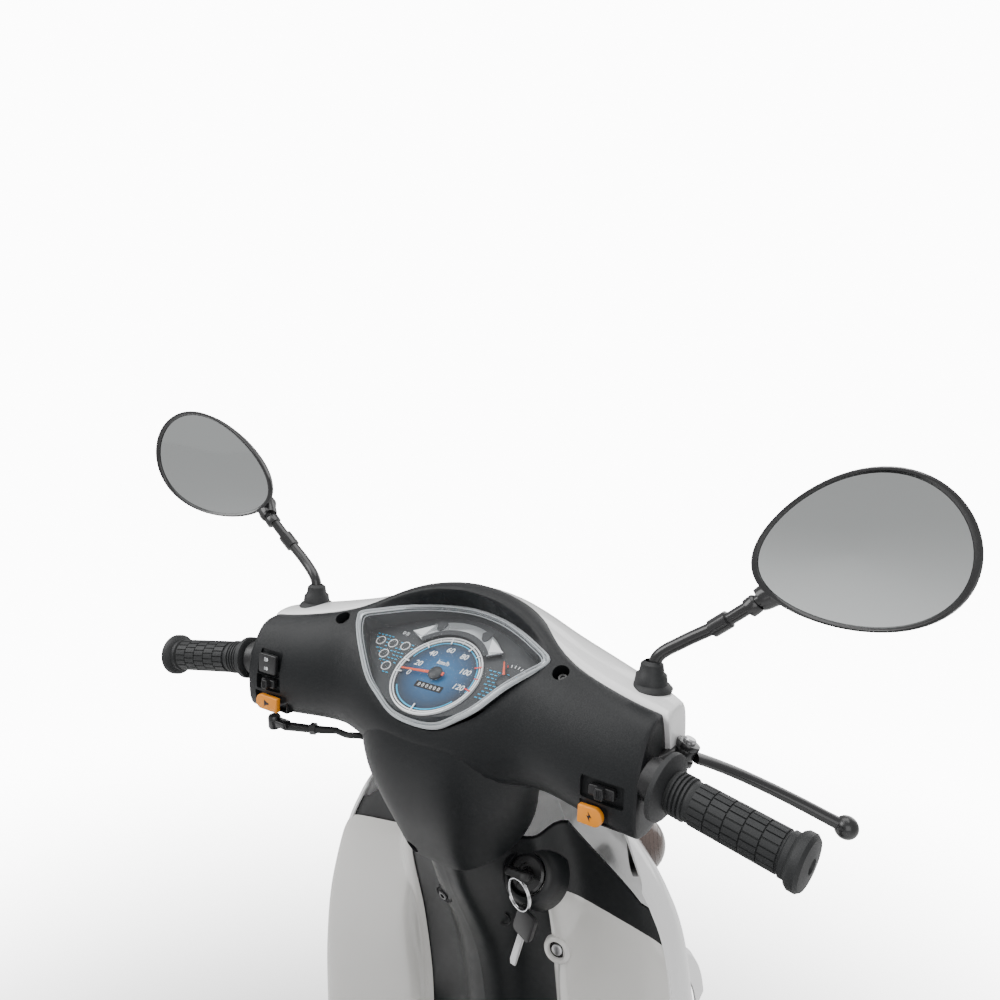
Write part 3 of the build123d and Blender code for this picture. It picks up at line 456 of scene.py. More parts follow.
panel_outline = [dial_xy(p)[:2] for p in shrunk(0.93)]
parts = [plate("p0", DIAL, DX, DU, panel_outline, -2, 0, "face_dark")]
floor_ring = [on_dial(x, y, 0) for x, y in panel_outline]
parts.append(loft("p1", [shrunk(0.955, 0.2), shrunk(0.945, -5), floor_ring], "face_dark", caps=False))
parts.append(loft("p1", [shrunk(1.005, -2), shrunk(0.985, 0.6), shrunk(0.955, 0.4), shrunk(0.95, -3)],
                  "silver", caps=False))
parts.append(plate("p2", DIAL, DX, DU, circle(40.6, 72), 0, 0.4, "dial_blue"))
for inner, outer, height in [(40.6, 41.8, 1.6), (43.0, 44.4, 2.2)]:
    parts.append(lathe("p3", DIAL, DN, [(inner, 0), (inner, height), (outer, height), (outer, 0)], "print",
                       96))
parts.append(lathe("p4", DIAL, DN, [(41.8, 0), (41.8, 1.0), (43.0, 1.0), (43.0, 0)], "face_dark", 96))


def bar_on_dial(angle, r0, r1, width, mat, h=0.5, tall=0.35, at=(0, 0)):
    a = radians(angle)
    d, s = (cos(a), sin(a)), (-sin(a), cos(a))
    pts = [(at[0] + d[0] * r + s[0] * w, at[1] + d[1] * r + s[1] * w)
           for r, w in [(r0, -width / 2), (r1, -width / 2), (r1, width / 2), (r0, width / 2)]]
    return plate("pb", DIAL, DX, DU, pts, h - 0.2, h + tall, mat)


SPEEDS = [(0, 190), (10, 180), (20, 170), (30, 152.5), (40, 135), (50, 117), (60, 100), (70, 82), (80, 64),
          (90, 45.5), (100, 27), (110, 8.5), (120, -10)]
for speed, angle in SPEEDS:
    main = speed % 20 == 0
    tint = "red" if speed >= 100 else "print"
    parts.append(bar_on_dial(angle, 36.5 if main else 39.0, 43.6, 1.3 if main else 0.7, tint, 2.0))
parts.append(bar_on_dial(-90, 34.5, 43.6, 1.2, "print", 2.0))


def arc_on_dial(r, width, a0, a1, mat, h=0.5, at=(0, 0)):
    steps = max(3, int(abs(a1 - a0) / 4))
    outer = [(at[0] + (r + width / 2) * cos(radians(a0 + (a1 - a0) * k / steps)),
              at[1] + (r + width / 2) * sin(radians(a0 + (a1 - a0) * k / steps))) for k in range(steps + 1)]
    inner = [(at[0] + (r - width / 2) * cos(radians(a0 + (a1 - a0) * k / steps)),
              at[1] + (r - width / 2) * sin(radians(a0 + (a1 - a0) * k / steps))) for k in range(steps + 1)]
    rings = [[on_dial(*q, h) for q in outer], [on_dial(*q, h) for q in inner]]
    return loft("pa", rings, mat, caps=False, closed=False)


parts += [arc_on_dial(38.6, 1.1, 22, 160, "cyan"), arc_on_dial(38.6, 1.1, -14, 22, "cyan"),
          arc_on_dial(38.0, 1.3, -148, -34, "cyan")]


def words(text, at, size, mat, h=0.55, shear=0.15, turn=0.0, thick=0.25):
    """Flat lettering on the dial."""
    curve = bpy.data.curves.new("w", "FONT")
    curve.body = text
    curve.size = size * MM
    curve.align_x = curve.align_y = "CENTER"
    curve.shear = shear
    curve.offset = thick * MM * 0.5
    curve.extrude = 0.0
    o = bpy.data.objects.new("w", curve)
    bpy.context.scene.collection.objects.link(o)
    bpy.context.view_layer.update()
    me = bpy.data.meshes.new_from_object(o.evaluated_get(bpy.context.evaluated_depsgraph_get()))
    bpy.data.objects.remove(o)
    a = radians(turn)
    x, y = DX * cos(a) + DU * sin(a), DU * cos(a) - DX * sin(a)
    p = on_dial(*at, h) * MM
    me.transform(Matrix(((x.x, y.x, DN.x, p.x), (x.y, y.y, DN.y, p.y), (x.z, y.z, DN.z, p.z),
                         (0, 0, 0, 1))))
    made = bpy.data.objects.new("w", me)
    bpy.context.scene.collection.objects.link(made)
    me.materials.clear()
    me.materials.append(M[mat])
    return made


for speed, angle, r in [(0, 189, 30), (20, 164, 27.5), (40, 131, 29), (60, 97, 30), (80, 62, 30),
                        (100, 24, 27),
                        (120, -12, 28.5)]:
    parts.append(words(str(speed), (r * cos(radians(angle)), r * sin(radians(angle))), 8.2, "print"))
parts.append(words("km/h", (-2, 14.5), 6.6, "print"))
parts.append(plate("po", DIAL, DX, DU, rounded(15, 3.4, 0.5), 0.2, 0.7, "hole_and_painted_shade"))
parts[-1].data.transform(Matrix.Translation(DU * -13.5 * MM))
for k in range(6):
    parts.append(words("0", (-10.5 + 4.4 * k, -13.8), 5.2, "print", 0.85, 0, 0, 0.1))
for k, at in enumerate([(-83, 21.5), (-67.5, 21.5), (-52.5, 22), (-69, 8), (-57, -4.5)]):
    centre = on_dial(*at)
    parts.append(lathe("pl", centre, DN, [(4.3, 0), (4.3, 0.9), (5.0, 0.9), (5.0, 0)], "print", 32))
    parts.append(lathe("pl", centre, DN, [(0.01, 0), (4.3, 0), (4.3, 0.5), (0.01, 0.5)], "face_dark", 32))
for row in range(11):
    for col in range(12):
        x, y = -92 + col * 4.4 + row * 1.3, 29 - row * 4.0
        near_ring = any((x - a) ** 2 + (y - b) ** 2 < 42 for a, b in
                        [(-83, 21.5), (-67.5, 21.5), (-52.5, 22), (-69, 8), (-57, -4.5)])
        inside = x > -100 + (29 - y) * 1.05 and y < 30 - 0.05 * (x + 90)
        if x * x + y * y > 50 ** 2 and inside and not near_ring:
            parts.append(bar_on_dial(0, 0, 2.6, 0.9, "cyan", 0.3, 0.15, at=(x, y)))
for row in range(9):
    for col in range(11):
        x, y = 46 + col * 4.6 - row * 1.4, 20 - row * 3.8
        if x * x + y * y > 49 ** 2 and x < 98 - (26 - y) * 1.15 and (x - 68) ** 2 + (y - 12) ** 2 > 70:
            parts.append(bar_on_dial(0, 0, 2.8, 1.0, "cyan", 0.3, 0.15, at=(x, y)))
for k in range(9):
    parts.append(bar_on_dial(112 - k * 11.5, 17.5, 20.5, 0.8, "red" if k == 0 else "print", 0.5, 0.2,
                             at=(68, 11)))
parts.append(words("F", (88.5, 20.5), 4.6, "print", 0.5, 0))
parts.append(plate("py", DIAL, DX, DU, circle(2.3, 20, (79, 17)), 0.2, 0.9, "yellow"))
parts.append(words("D", (-64, 36.5), 4.6, "print", 0.5, 0))
for k in range(3):
    parts.append(bar_on_dial(0, 0, 3.0, 0.5, "print", 0.4, 0.15, at=(-61, 35 + k * 1.4)))

# The bright hood over the dial, with its two arrow-shaped signal windows.
hood_out = [(61 * cos(radians(a)), 8 + 53 * sin(radians(a))) for a in range(34, 147, 4)]
hood_in = [(48 * cos(radians(a)), 48 * sin(radians(a))) for a in range(140, 39, -4)]
hood = plate("ph", DIAL, DX, DU, [*hood_out, *hood_in], 3.0, 5.0, "silver")
parts.append(bevel(hood, 0.5))
shade = [(51 * cos(radians(a)), 51 * sin(radians(a))) for a in range(40, 141, 5)]
shade += [(45.5 * cos(radians(a)), 45.5 * sin(radians(a))) for a in range(140, 39, -5)]
parts.append(plate("pq", DIAL, DX, DU, shade, 4.6, 5.4, "face_dark"))
for side in (1, -1):
    parts.append(plate("pt", DIAL, DX, DU, [(side * 33, 50), (side * 52, 38), (side * 38, 34.5)], 5.0, 5.8,
                       "print"))
    drop = [(side * 26 + 6 * cos(radians(a)) * (1 if sin(radians(a)) > 0 else 0.8),
             53 + (4.2 if sin(radians(a)) > 0 else 8.0) * sin(radians(a))) for a in range(0, 360, 20)]
    parts.append(plate("pd", DIAL, DX, DU, drop, 5.0, 5.7, "face_dark"))
dial = join("dial_and_panel", parts)
put(dial, "steering", "instrument_housing", slot="black_plastic", angle=30)


def edge_ring(p, r):
    """A small ring about p, square to the window's edge."""
    away = (p - on_dial(0, 10, 14)).normalized()
    return [p + spun(DN, away, k, 10) * r for k in range(10)]



window = loft("instrument_window", [shrunk(1.0, 0.5), shrunk(0.985, 2.4), shrunk(0.93, 4.2),
                                    shrunk(0.75, 6.5),
                                    shrunk(0.5, 8.5), shrunk(0.25, 9.5), shrunk(0.02, 9.8)], "clear",
                                    caps=False)
put(window, "steering", "instrument_lens", slot="clear_lens", angle=60)
# The window's thick clear rim, drawn as whitish, partly opaque rings: a real rim with a painted highlight.
M["edge"] = lens_material("lens_edge_painted_highlight", (0.80, 0.83, 0.85), 0.55, 0.08, 0.8)
edges = []
for share, lift, r in [(1.0, 0.8, 1.5), (0.965, 2.6, 0.8), (0.94, -1.5, 0.7)]:
    line = shrunk(share, lift)
    edges.append(loft("e", [edge_ring(p, r) for p in [*line, line[0]]], "edge", caps=False))
put(join("window_edge_painted_highlight", edges), "steering", slot="clear_lens", angle=60)


def pointer(name, at, length, angle, body, width=2.6):
    a = radians(angle)
    d, s = (cos(a), sin(a)), (-sin(a), cos(a))
    outline = [(at[0] + d[0] * r + s[0] * w, at[1] + d[1] * r + s[1] * w)
               for r, w in [(-9, -width * 0.7), (length, -width * 0.22), (length + 1, 0),
                            (length, width * 0.22),
                            (-9, width * 0.7)]]
    blade = plate("n", DIAL, DX, DU, outline, 3.4, 4.6, "needle", 0.25)
    cap = lathe("n", on_dial(*at, 2.6), DN, [(0.01, 0), (7, 0), (7, 2.2), (5.5, 3.4), (0.01, 3.8)],
                "face_dark", 36)
    put(join(name + "_shown", [blade, cap]), body, name, slot="orange_plastic")


pointer("speed_needle", (0, 0), 37, 186, "speed_needle")
pointer("fuel_needle", (68, 10), 22, 118, "fuel_needle", 2.4)

# ------------------------------------------------------------------ handlebar covers
COVER = [
    (0, [(190, 925), (171, 968), (176, 987), (205, 1010), (240, 1040), (270, 1062), (267, 1078),
         (258, 1092),
         (272, 1097), (300, 1088), (300, 1000), (290, 925)]),
    (45, [(192, 928), (172, 970), (181, 1001), (208, 1022), (240, 1046), (262, 1063), (260, 1076),
          (254, 1087),
          (268, 1091), (296, 1082), (300, 1000), (290, 925)]),
    (78, [(196, 936), (177, 976), (196, 1029), (215, 1042), (234, 1054), (248, 1062), (248, 1070),
          (248, 1075),
          (262, 1079), (288, 1070), (296, 1000), (280, 930)]),
    (104, [(201, 944), (180, 984), (208, 1040), (218, 1048), (226, 1054), (232, 1059), (236, 1062),
           (243, 1063),
           (252, 1063), (262, 1056), (266, 1000), (256, 935)]),
    (128, [(200, 946), (178, 984), (192, 1024), (208, 1042), (217, 1049), (224, 1053), (229, 1054),
           (233, 1054),
           (238, 1051), (241, 1044), (242, 1000), (236, 940)]),
    (160, [(190, 947), (174, 974), (181, 1010), (196, 1034), (206, 1042), (214, 1046), (220, 1047),
           (226, 1047),
           (231, 1045), (234, 1038), (236, 1000), (230, 940)]),
    (192, [(184, 948), (173, 960), (175, 1004), (192, 1030), (199, 1037), (206, 1040), (213, 1041),
           (220, 1041),
           (226, 1039), (230, 1032), (232, 1000), (226, 941)]),
    (216, [(184, 949), (173.5, 955), (176, 1003), (192, 1028), (198, 1034), (205, 1037), (212, 1038),
           (219, 1038),
           (225, 1036), (229, 1030), (230, 1000), (224, 942)]),
]


def across_sections(sections):
    """Rings from the right side to the left one."""
    rings = [[Vector((x, -y, z)) for x, z in p] for y, p in reversed(sections)]
    return rings + [[Vector((x, y, z)) for x, z in p] for y, p in sections[1:]]


def hold_ends(rings, by=1.2):
    """Doubles the end rings so that a smoothed loft keeps crisp ends."""
    first = [p + (q - p).normalized() * by for p, q in zip(rings[0], rings[1])]
    last = [p + (q - p).normalized() * by for p, q in zip(rings[-1], rings[-2])]
    return [rings[0], first, *rings[1:-1], last, rings[-1]]


arms = subsurf(loft("arms", hold_ends(across_sections(COVER)), "black"), 2)
opening = loft("o", [[on_dial(*dial_xy(p)[:2], h) for p in shrunk(1.012)] for h in (-70, 80)], "hole_and_painted_shade")
arms = cut(arms, opening)

THROAT = [
    (1004, [(189, 0), (189, 30), (194, 58), (208, 84), (250, 92), (300, 60), (310, 0)]),
    (985, [(178, 0), (178, 30), (184, 60), (205, 94), (250, 98), (300, 60), (310, 0)]),
    (960, [(171, 0), (171, 28), (175, 58), (204, 92), (250, 98), (300, 58), (310, 0)]),
    (930, [(171, 0), (171, 28), (176, 58), (206, 90), (252, 94), (305, 54), (316, 0)]),
    (895, [(180, 0), (180, 26), (184, 46), (214, 76), (258, 82), (310, 52), (322, 0)]),
    (855, [(197, 0), (197, 23), (199.5, 35), (230, 60), (268, 64), (322, 50), (334, 0)]),
    (815, [(216, 0), (216, 22), (218, 34), (250, 58), (285, 60), (335, 46), (345, 0)]),
]


def whole(points, z):
    """A half outline at a height, made whole."""
    return [Vector((x, y, z)) for x, y in points] + [Vector((x, -y, z)) for x, y in reversed(points[1:-1])]


def trim(o, height, keep_above=True, close=True):
    """Cuts a mesh with a plane across the steering axis, height millimetres along it."""
    n = Vector((-sin(RAKE), 0, cos(RAKE)))
    bm = bmesh.new()
    bm.from_mesh(o.data)
    made = bmesh.ops.bisect_plane(bm, geom=[*bm.verts, *bm.edges, *bm.faces],
                                  plane_co=(Vector((AXIS_X, 0, 0)) + n * height) * MM,
                                  plane_no=n, clear_inner=keep_above, clear_outer=not keep_above)
    if close:
        edges = [e for e in made["geom_cut"] if isinstance(e, bmesh.types.BMEdge)]
        bmesh.ops.holes_fill(bm, edges=edges)
    bm.to_mesh(o.data)
    bm.free()
    return o


throat = loft("throat", [whole(p, z) for z, p in reversed(THROAT)], "black")
throat = subsurf(throat, 2)
throat = trim(throat, COVER_FOOT)
throat_opening = loft("o", [[on_dial(*dial_xy(p)[:2], h) for p in shrunk(1.012)] for h in (-30, 80)],
                      "hole_and_painted_shade")
throat = cut(throat, throat_opening)
tools = []
for x, y, z, out, r in [(206, 25, 848, (-0.85, 0.1, -0.3), 7.5)]:
    tools.append(lathe("o", (x, y, z), out, [(0.01, -6), (r, -6), (r, 14), (0.01, 14)], "hole_and_painted_shade", 24))
throat = cut(throat, *tools)
arm_tools = []
for side in (1, -1):
    arm_tools.append(lathe("o", (224, side * 123, 1046), (-0.55, side * 0.12, 0.82),
                           [(0.01, -12), (7.5, -12), (7.5, 20), (0.01, 20)], "hole_and_painted_shade", 28))
FACE = Vector((-0.995, 0, 0.0998))
FU = Vector((0.0998, 0, 0.995))
FY = Vector((0, 1, 0))
RECESSES = [(186, 1003, 15, 12.5), (186, 983, 16, 7.5), (184, 964, 20.5, 9), (-186, 984, 19, 9),
            (-179, 964, 13, 9)]
for y, z, a, b in RECESSES:
    arm_tools.append(plate("o", (174 + (z - 961) * 0.1, y, z), FY, FU, rounded(a, b, 2), -20, 5, "hole_and_painted_shade"))
arms = cut(arms, *arm_tools)
cover = join("rear_cover", [arms, throat])
put(cover, "steering", "rear_handlebar_cover", slot="black_plastic", angle=32)
for side in (1, -1):
    screw(f"cover_screw_{'lr'[side < 0]}", (226, side * 123, 1043), (-0.55, side * 0.12, 0.82), 4.5,
          "steering",
          mat="paint")

FRONT = [
    (0, [(262, 1089), (272, 1094), (300, 1088), (345, 1055), (376, 1008), (386, 962), (374, 918),
         (335, 915),
         (300, 925), (300, 1060)]),
    (50, [(258, 1083), (270, 1088), (296, 1082), (338, 1050), (370, 1006), (379, 962), (368, 920),
          (330, 915),
          (296, 925), (296, 1056)]),
    (95, [(246, 1062), (258, 1068), (290, 1064), (322, 1040), (350, 1002), (356, 960), (342, 925),
          (310, 918),
          (282, 930), (270, 1046)]),
    (135, [(229, 1052), (244, 1057), (282, 1056), (304, 1036), (322, 1000), (322, 962), (306, 932),
           (284, 925),
           (250, 932), (240, 1034)]),
    (168, [(221, 1045), (234, 1050), (268, 1051), (285, 1036), (295, 1004), (292, 968), (278, 940),
           (264, 932),
           (240, 936), (232, 1030)]),
    (200, [(217, 1040), (230, 1044), (258, 1045), (270, 1036), (275, 1004), (268, 972), (258, 948),
           (250, 940),
           (236, 940), (226, 1026)]),
    (221, [(216, 1037), (226, 1040), (246, 1041), (254, 1034), (256, 1004), (252, 978), (248, 956),
           (244, 946),
           (234, 944), (224, 1022)]),
]
front = subsurf(loft("front", hold_ends(across_sections(FRONT)), "white"), 2)
front = trim(front, COVER_FOOT)
lamp_tool = plate("o", (350, 0, 965), (0, 1, 0), (0, 0, 1),
                  [(78 * cos(a * pi / 24), 38 * sin(a * pi / 24)) for a in range(48)],
                  -4, 80, "hole_and_painted_shade")
slot_tools = [plate("o", (262, side * 214, 985), (1, 0, 0), (0, 0, 1), rounded(22, 14, 5), -22, 22, "hole_and_painted_shade")
              for side in (1, -1)]
front = cut(front, lamp_tool, *slot_tools)
put(front, "steering", "front_handlebar_cover", slot="white_plastic", angle=40)

# ------------------------------------------------------------------ switches


def on_face(y, z, out=0.0):
    """A point on the faces the switches sit in, out millimetres towards the rider."""
    return Vector((174 + (z - 961) * 0.1, y, z)) + FACE * out


def knob(y, z, outline, low, high, mat, edge=0.8):
    o = plate("k", on_face(y, z), FY, FU, outline, -high, -low, mat)
    return bevel(o, edge, 3)


def beam_icon(y, z, out, lines, mat="print"):
    """A headlamp symbol: a half-round lamp with rays."""
    at = on_face(y, z, out)
    lamp = [(0, -1.8), (1.2, -1.5), (1.9, 0), (1.2, 1.5), (0, 1.8)]
    made = [plate("i", at, FY, FU, [(-a, b) for a, b in lamp], -0.2, 0.1, mat)]
    for k in range(lines):
        h = (k - (lines - 1) / 2) * 1.1
        made.append(plate("i", at, FY, FU, [(0.8, h - 0.2), (3.2, h - 0.2), (3.2, h + 0.2),
                                            (0.8, h + 0.2)], -0.2, 0.1, mat))
    return made


bits = [knob(186, 1003, rounded(12, 9.6, 2.5), -2, 2.6, "switch_black")]
bits += beam_icon(186, 1007.5, 2.8, 4) + beam_icon(186, 998.5, 2.8, 3)
put(join("dip_rocker", bits), "dip_switch", "dip_switch", slot="black_plastic", angle=30)


def slider(y, z, half, body, node):
    made = [knob(y, z, rounded(half, 4.2, 1.5), -4, 1.2, "switch_black"),
            knob(y, z, [(-3.2, -4.6), (3.2, -4.6), (4.2, 0), (3.2, 4.6), (-3.2, 4.6), (-4.2, 0)], -2, 6.0,
                 "switch_black")]
    for k in (-1.6, 0, 1.6):
        made.append(knob(y + k, z, rounded(0.35, 3.4, 0.3), 5.5, 6.6, "switch_black", 0.15))
    put(join(node + "_knob", made), body, node, slot="black_plastic", angle=30)


slider(186, 983, 9, "signal_switch", "signal_switch")
slider(-186, 984, 11, "light_switch", "light_switch")


def push(side, node):
    y, half = (184, 15) if side > 0 else (-179, 10.5)
    round_end = [(side * (half - 7 + 7 * cos(radians(a))),
                  7.4 * sin(radians(a))) for a in range(-90, 91, 12)]
    outline = [(side * -half, -7.2), *round_end, (side * -half, 7.2)]
    made = [knob(y, 964, outline, -1.4, 4.2, "orange", 1.2)]
    middle = on_face(y, 964, 4.3)
    if side > 0:
        horn = [(-4, -1.1), (-1.6, -1.1), (2.4, -3.2), (2.4, 3.2), (-1.6, 1.1), (-4, 1.1)]
        made.append(plate("i", middle, FY, FU, horn, -0.15, 0.1, "switch_black"))
    else:
        bolt = [(-0.6, -3.6), (2.2, 0.6), (0.4, 0.6), (1.2, 3.8), (-2.2, -0.4), (-0.2, -0.4)]
        made.append(plate("i", middle, FY, FU, bolt, -0.15, 0.1, "switch_black"))
    put(join(node + "_cap", made), node, node, slot="orange_plastic", angle=30)


push(1, "horn_button")
push(-1, "starter_button")
# ------------------------------------------------------------------ grips
GRIP_START, GRIP_END = Vector((194, 222, 996)), Vector((179, 335, 980))


def flip(v, side):
    return Vector((v.x, v.y * side, v.z))


def grip(side, name, body, node):
    start, end = flip(GRIP_START, side), flip(GRIP_END, side)
    w = (end - start).normalized()
    inner = [(23, 6), (27, 7), (27, 11), (24,
                                          12.5)] if side < 0 else [(19, 6), (21.2, 7), (21.2, 12),
                                                                   (18, 13.5)]
    profile = [(12, 5.5), *inner, (15.5, 15), (15.3, 30), (15.6, 31), (15.6, 32.5), (15.2, 33.5),
               (15.2, 103), (17, 104), (17, 108), (19.5, 109.5), (21.2, 112), (21.2, 117), (19, 119.5),
               (6, 121),
               (5, 118.5), (2, 118), (0.01, 118)]
    made = [lathe("g", start, w, profile, "rubber", 64)]
    u, v, w = frame_of(w)

    def skin_point(h, a, r):
        return start + w * h + (u * cos(a) + v * sin(a)) * r

    rows, around = 5, 18
    for k in range(4):
        made.append(lathe("g", start, w, [(15.4, 17 + k * 3.4), (16.9, 17.6 + k * 3.4),
                                          (16.9, 19.0 + k * 3.4), (15.4, 19.6 + k * 3.4)],
                          "rubber", 48))
    verts, faces = [], []
    for i in range(rows):
        h0, h1 = 35 + i * 13.4, 35 + i * 13.4 + 12.9
        for j in range(around):
            a0 = 2 * pi * (j + 0.5 * (i % 2)) / around
            a1 = a0 + 2 * pi / around * 0.9
            base = len(verts)
            for a, b, c, r in [(a0, a1, 0.0, 15.1), (a0, a1, 0.3, 16.3)]:
                steps = [a + (b - a) * q / 3 for q in range(4)]
                if r > 16:
                    steps = [a + (b - a) * (0.06 + 0.88 * q / 3) for q in range(4)]
                verts += [skin_point(h0 + c, t,
                                     r) for t in steps] + [skin_point(h1 - c, t, r) for t in steps]
            for q in range(3):
                faces.append((base + 8 + q, base + 9 + q, base + 13 + q, base + 12 + q))
                faces.append((base + q, base + 1 + q, base + 9 + q, base + 8 + q))
                faces.append((base + 4 + q, base + 12 + q, base + 13 + q, base + 5 + q))
            faces.append((base, base + 8, base + 12, base + 4))
            faces.append((base + 3, base + 7, base + 15, base + 11))
    made.append(new("g", verts, faces, "rubber"))
    put(join(name, made), body, node, slot="rubber", angle=35)
    sleeve = lathe(name + "_sleeve", start, w, [(11.4, -26), (14.5, -26), (15.5, -8), (17, -6), (17, 3),
                                                (15, 4.5), (11.4, 4.5)],
                   "switch_black", 48)
    put(sleeve, "steering", slot="black_plastic", angle=30)


grip(1, "left_grip_rubber", "steering", "left_grip")
grip(-1, "throttle_grip_rubber", "throttle_grip", "throttle_grip")

# ------------------------------------------------------------------ levers


def lever_frame(side):
    reach = Vector((48, side * 118, -51)).normalized()
    pull = Vector((-110, side * -5, 28))
    n = (Vector((48, side * 118, -51)).cross(pull) * side).normalized()
    return Vector((237, side * 227, 1003)), reach, n.cross(reach), n


for side, tag in [(1, "left"), (-1, "right")]:
    o, x, y, n = lever_frame(side)
    s = side
    line = [(9, 1), (22, -3), (44, -7), (70, -7.5), (96, -5.5), (118, -2), (132, 0)]
    fine = spline([(a, s * b, 0) for a, b in line], 5)
    rings = []
    for i, q in enumerate(fine):
        d = (fine[min(i + 1, len(fine) - 1)] - fine[max(i - 1, 0)]).normalized()
        t = Vector((-d.y, d.x, 0))
        share = i / (len(fine) - 1)
        wide, thick = 7.4 - 2.2 * share, 4.0 + 1.0 * share
        rings.append([o + x * p.x + y * p.y + n * p.z for p in
                      [q + t * wide * cos(2 * pi * k / 16) + Vector((0, 0, thick * sin(2 * pi * k / 16)))
                       for k in range(16)]])
    made = [loft("l", rings, "paint")]
    made.append(bevel(lathe("l", o, n, [(3.5, -4), (8.6, -4), (8.6, 4), (3.5, 4)], "paint", 32), 0.5))
    ball = o + x * 133
    made.append(lathe("l", ball, x, [(9.2 * sin(radians(a)),
                                      -9.2 * cos(radians(a))) for a in range(0, 181, 12)], "paint", 32))
    put(join(f"brake_lever_{tag}_blade", made), f"brake_lever_{tag}", f"brake_lever_{tag}",
        slot="black_plastic", angle=35)
    bolt = [lathe("l", o, n, [(0.01, 9), (5.2, 9), (5.2, 11.4), (4.2, 12.6), (0.01, 12.6)], "steel", 28),
            lathe("l", o, -n, [(0.01, 9), (4.6, 9), (4.6, 12), (0.01, 12)], "steel", 6),
            bevel(lathe("l", o, n, [(4.0, 4.6), (9.6, 4.6), (9.6, 9), (4.0, 9)], "paint", 32), 0.6),
            bevel(lathe("l", o, n, [(4.0, -9), (9.6, -9), (9.6, -4.6), (4.0, -4.6)], "paint", 32), 0.6),
            lathe("l", (250, s * 191, 1036), (0, 0, 1), [(9, 0), (12.5, 0.5), (12.5, 3.2), (9, 3.8)],
                  "paint", 32)]
    put(join(f"lever_perch_{tag}_trim", bolt), "steering", slot="black_plastic", angle=30)

cable = [tube("c", [(212, 132, 933), (208, 112, 935), (206, 102, 938), (212, 92, 937), (232, 74, 925),
                    (262, 34, 907)], 3.1,
              "rubber"),
         tube("c", [(193, 184, 931), (202, 150, 933), (212, 130, 933)], lambda t: 4.6 - 1.2 * t, "rubber"),
         lathe("c", (202, 152, 933), (10, -22, 0), [(4, -3), (6, -3), (6, 3), (4, 3)], "paint", 6),
         lathe("c", (190, 196, 934), (0, 0, 1), [(0.01, -7), (5.5, -7), (6.5, -5), (6.5, 5), (5.5, 7),
                                                 (0.01, 7)], "paint", 24),
         plate("c", (191, 190, 934), (1, 0, 0), (0, 1, 0), rounded(5, 13, 3), -3.4, 3.4, "paint", 0.8)]
put(join("brake_cable_and_boot", cable), "steering", "brake_cables", slot="rubber", angle=50)

# ------------------------------------------------------------------ mirrors


def mirror_frame(side):
    yaw, roll = radians(13), radians(20.6)
    n = Vector((-cos(yaw), -side * sin(yaw), 0))
    level = Vector((-sin(yaw), side * cos(yaw), 0))
    out = level * cos(roll) + Vector((0, 0, sin(roll)))
    up = Vector((0, 0, cos(roll))) - level * sin(roll)
    return Vector((244, side * 339, 1178)), out, up, n


def egg(side, share, push_out, segments=72):
    o, out, up, n = mirror_frame(side)
    ring = []
    for k in range(segments):
        a = 2 * pi * k / segments
        ring.append(o + out * 81 * share * cos(a)
                    + up * 54.5 * share * (1 + 0.2 * cos(a)) * sin(a) + n * push_out)
    return ring


for side, tag in [(1, "left"), (-1, "right")]:
    shell = [egg(side, s, h) for s, h in [(0.20, -31), (0.5, -29.5), (0.72, -24), (0.87, -15), (0.96, -6),
                                          (1.0, 0.5), (0.99, 2.6), (0.965, 2.8), (0.935, 1.4), (0.93, 0.2)]]
    glass = [egg(side, s, 0.4 + 0.6 * (1 - s)) for s in (0.928, 0.7, 0.4, 0.05)]
    made = [loft("m", shell, "paint"), loft("m", glass, "glass")]
    o, out, up, n = mirror_frame(side)
    ball = Vector((262, side * 273, 1130))
    made.append(lathe("m", ball, o + out * -58 + up * -14 + n * -20 - ball,
                      [(8.6, -3), (9.6, 1), (10, 8), (12, 16), (10, 24)], "paint", 32))
    put(join(f"mirror_head_{tag}_shell", made), f"mirror_head_{tag}", f"mirror_head_{tag}",
        slot="mirror_black", angle=40)
    stem = [tube("m", [(251, side * 191, 1052), (254, side * 195, 1070), (259, side * 214, 1085),
                       (262, side * 242, 1104),
                       (262, side * 273, 1130)], 5.2, "paint"),
            lathe("m", (250, side * 191, 1040.8), (0.06, 0, 1),
                  [(10, 0), (17, 0.4), (18, 3.4), (16, 5.6), (13.6, 7), (12.6, 14), (10.4, 16), (9.2, 23),
                   (6, 25.5)], "rubber", 40),
            lathe("m", (262, side * 242, 1104), (0, side * 0.77, 0.64),
                  [(5, -9), (7.2, -8), (7.2, 8), (5, 9)], "paint", 24),
            lathe("m", ball, (0, side * 1, 1), [(5, -14), (7.6, -13), (7.6, -6), (6, -4)], "paint", 24)]
    put(join(f"mirror_stem_{tag}_boot", stem), f"mirror_stem_{tag}", f"mirror_stem_{tag}",
        slot="mirror_black", angle=40)

# ------------------------------------------------------------------ front body
FRONT_BODY = [
    (300, [(262, 0), (262, 22), (262, 50), (262, 88), (262, 112), (258, 205), (270, 222), (300, 226),
           (320, 150), (330, 60), (335, 0)]),
    (470, [(288, 0), (289, 20), (296, 46), (296, 88), (290, 112), (281, 216), (292, 234), (320, 232),
           (440, 170), (520, 90), (545, 0)]),
    (600, [(289, 0), (291, 20), (300, 46), (300, 88), (288, 112), (282, 212), (292, 230), (325, 226),
           (430, 170), (495, 92), (522, 0)]),
    (700, [(272, 0), (275, 20), (288, 46), (288, 88), (276, 108), (283, 198), (294, 216), (330, 208),
           (410, 150), (455, 85), (478, 0)]),
    (800, [(228, 0), (232, 20), (262, 46), (270, 88), (290, 110), (296, 172), (306, 186), (335, 178),
           (380, 130), (410, 75), (430, 0)]),
    (930, [(185, 0), (190, 20), (235, 40), (255, 60), (275, 75), (285, 90), (295, 96), (312, 96),
           (330, 80), (350, 50), (368, 0)]),
]


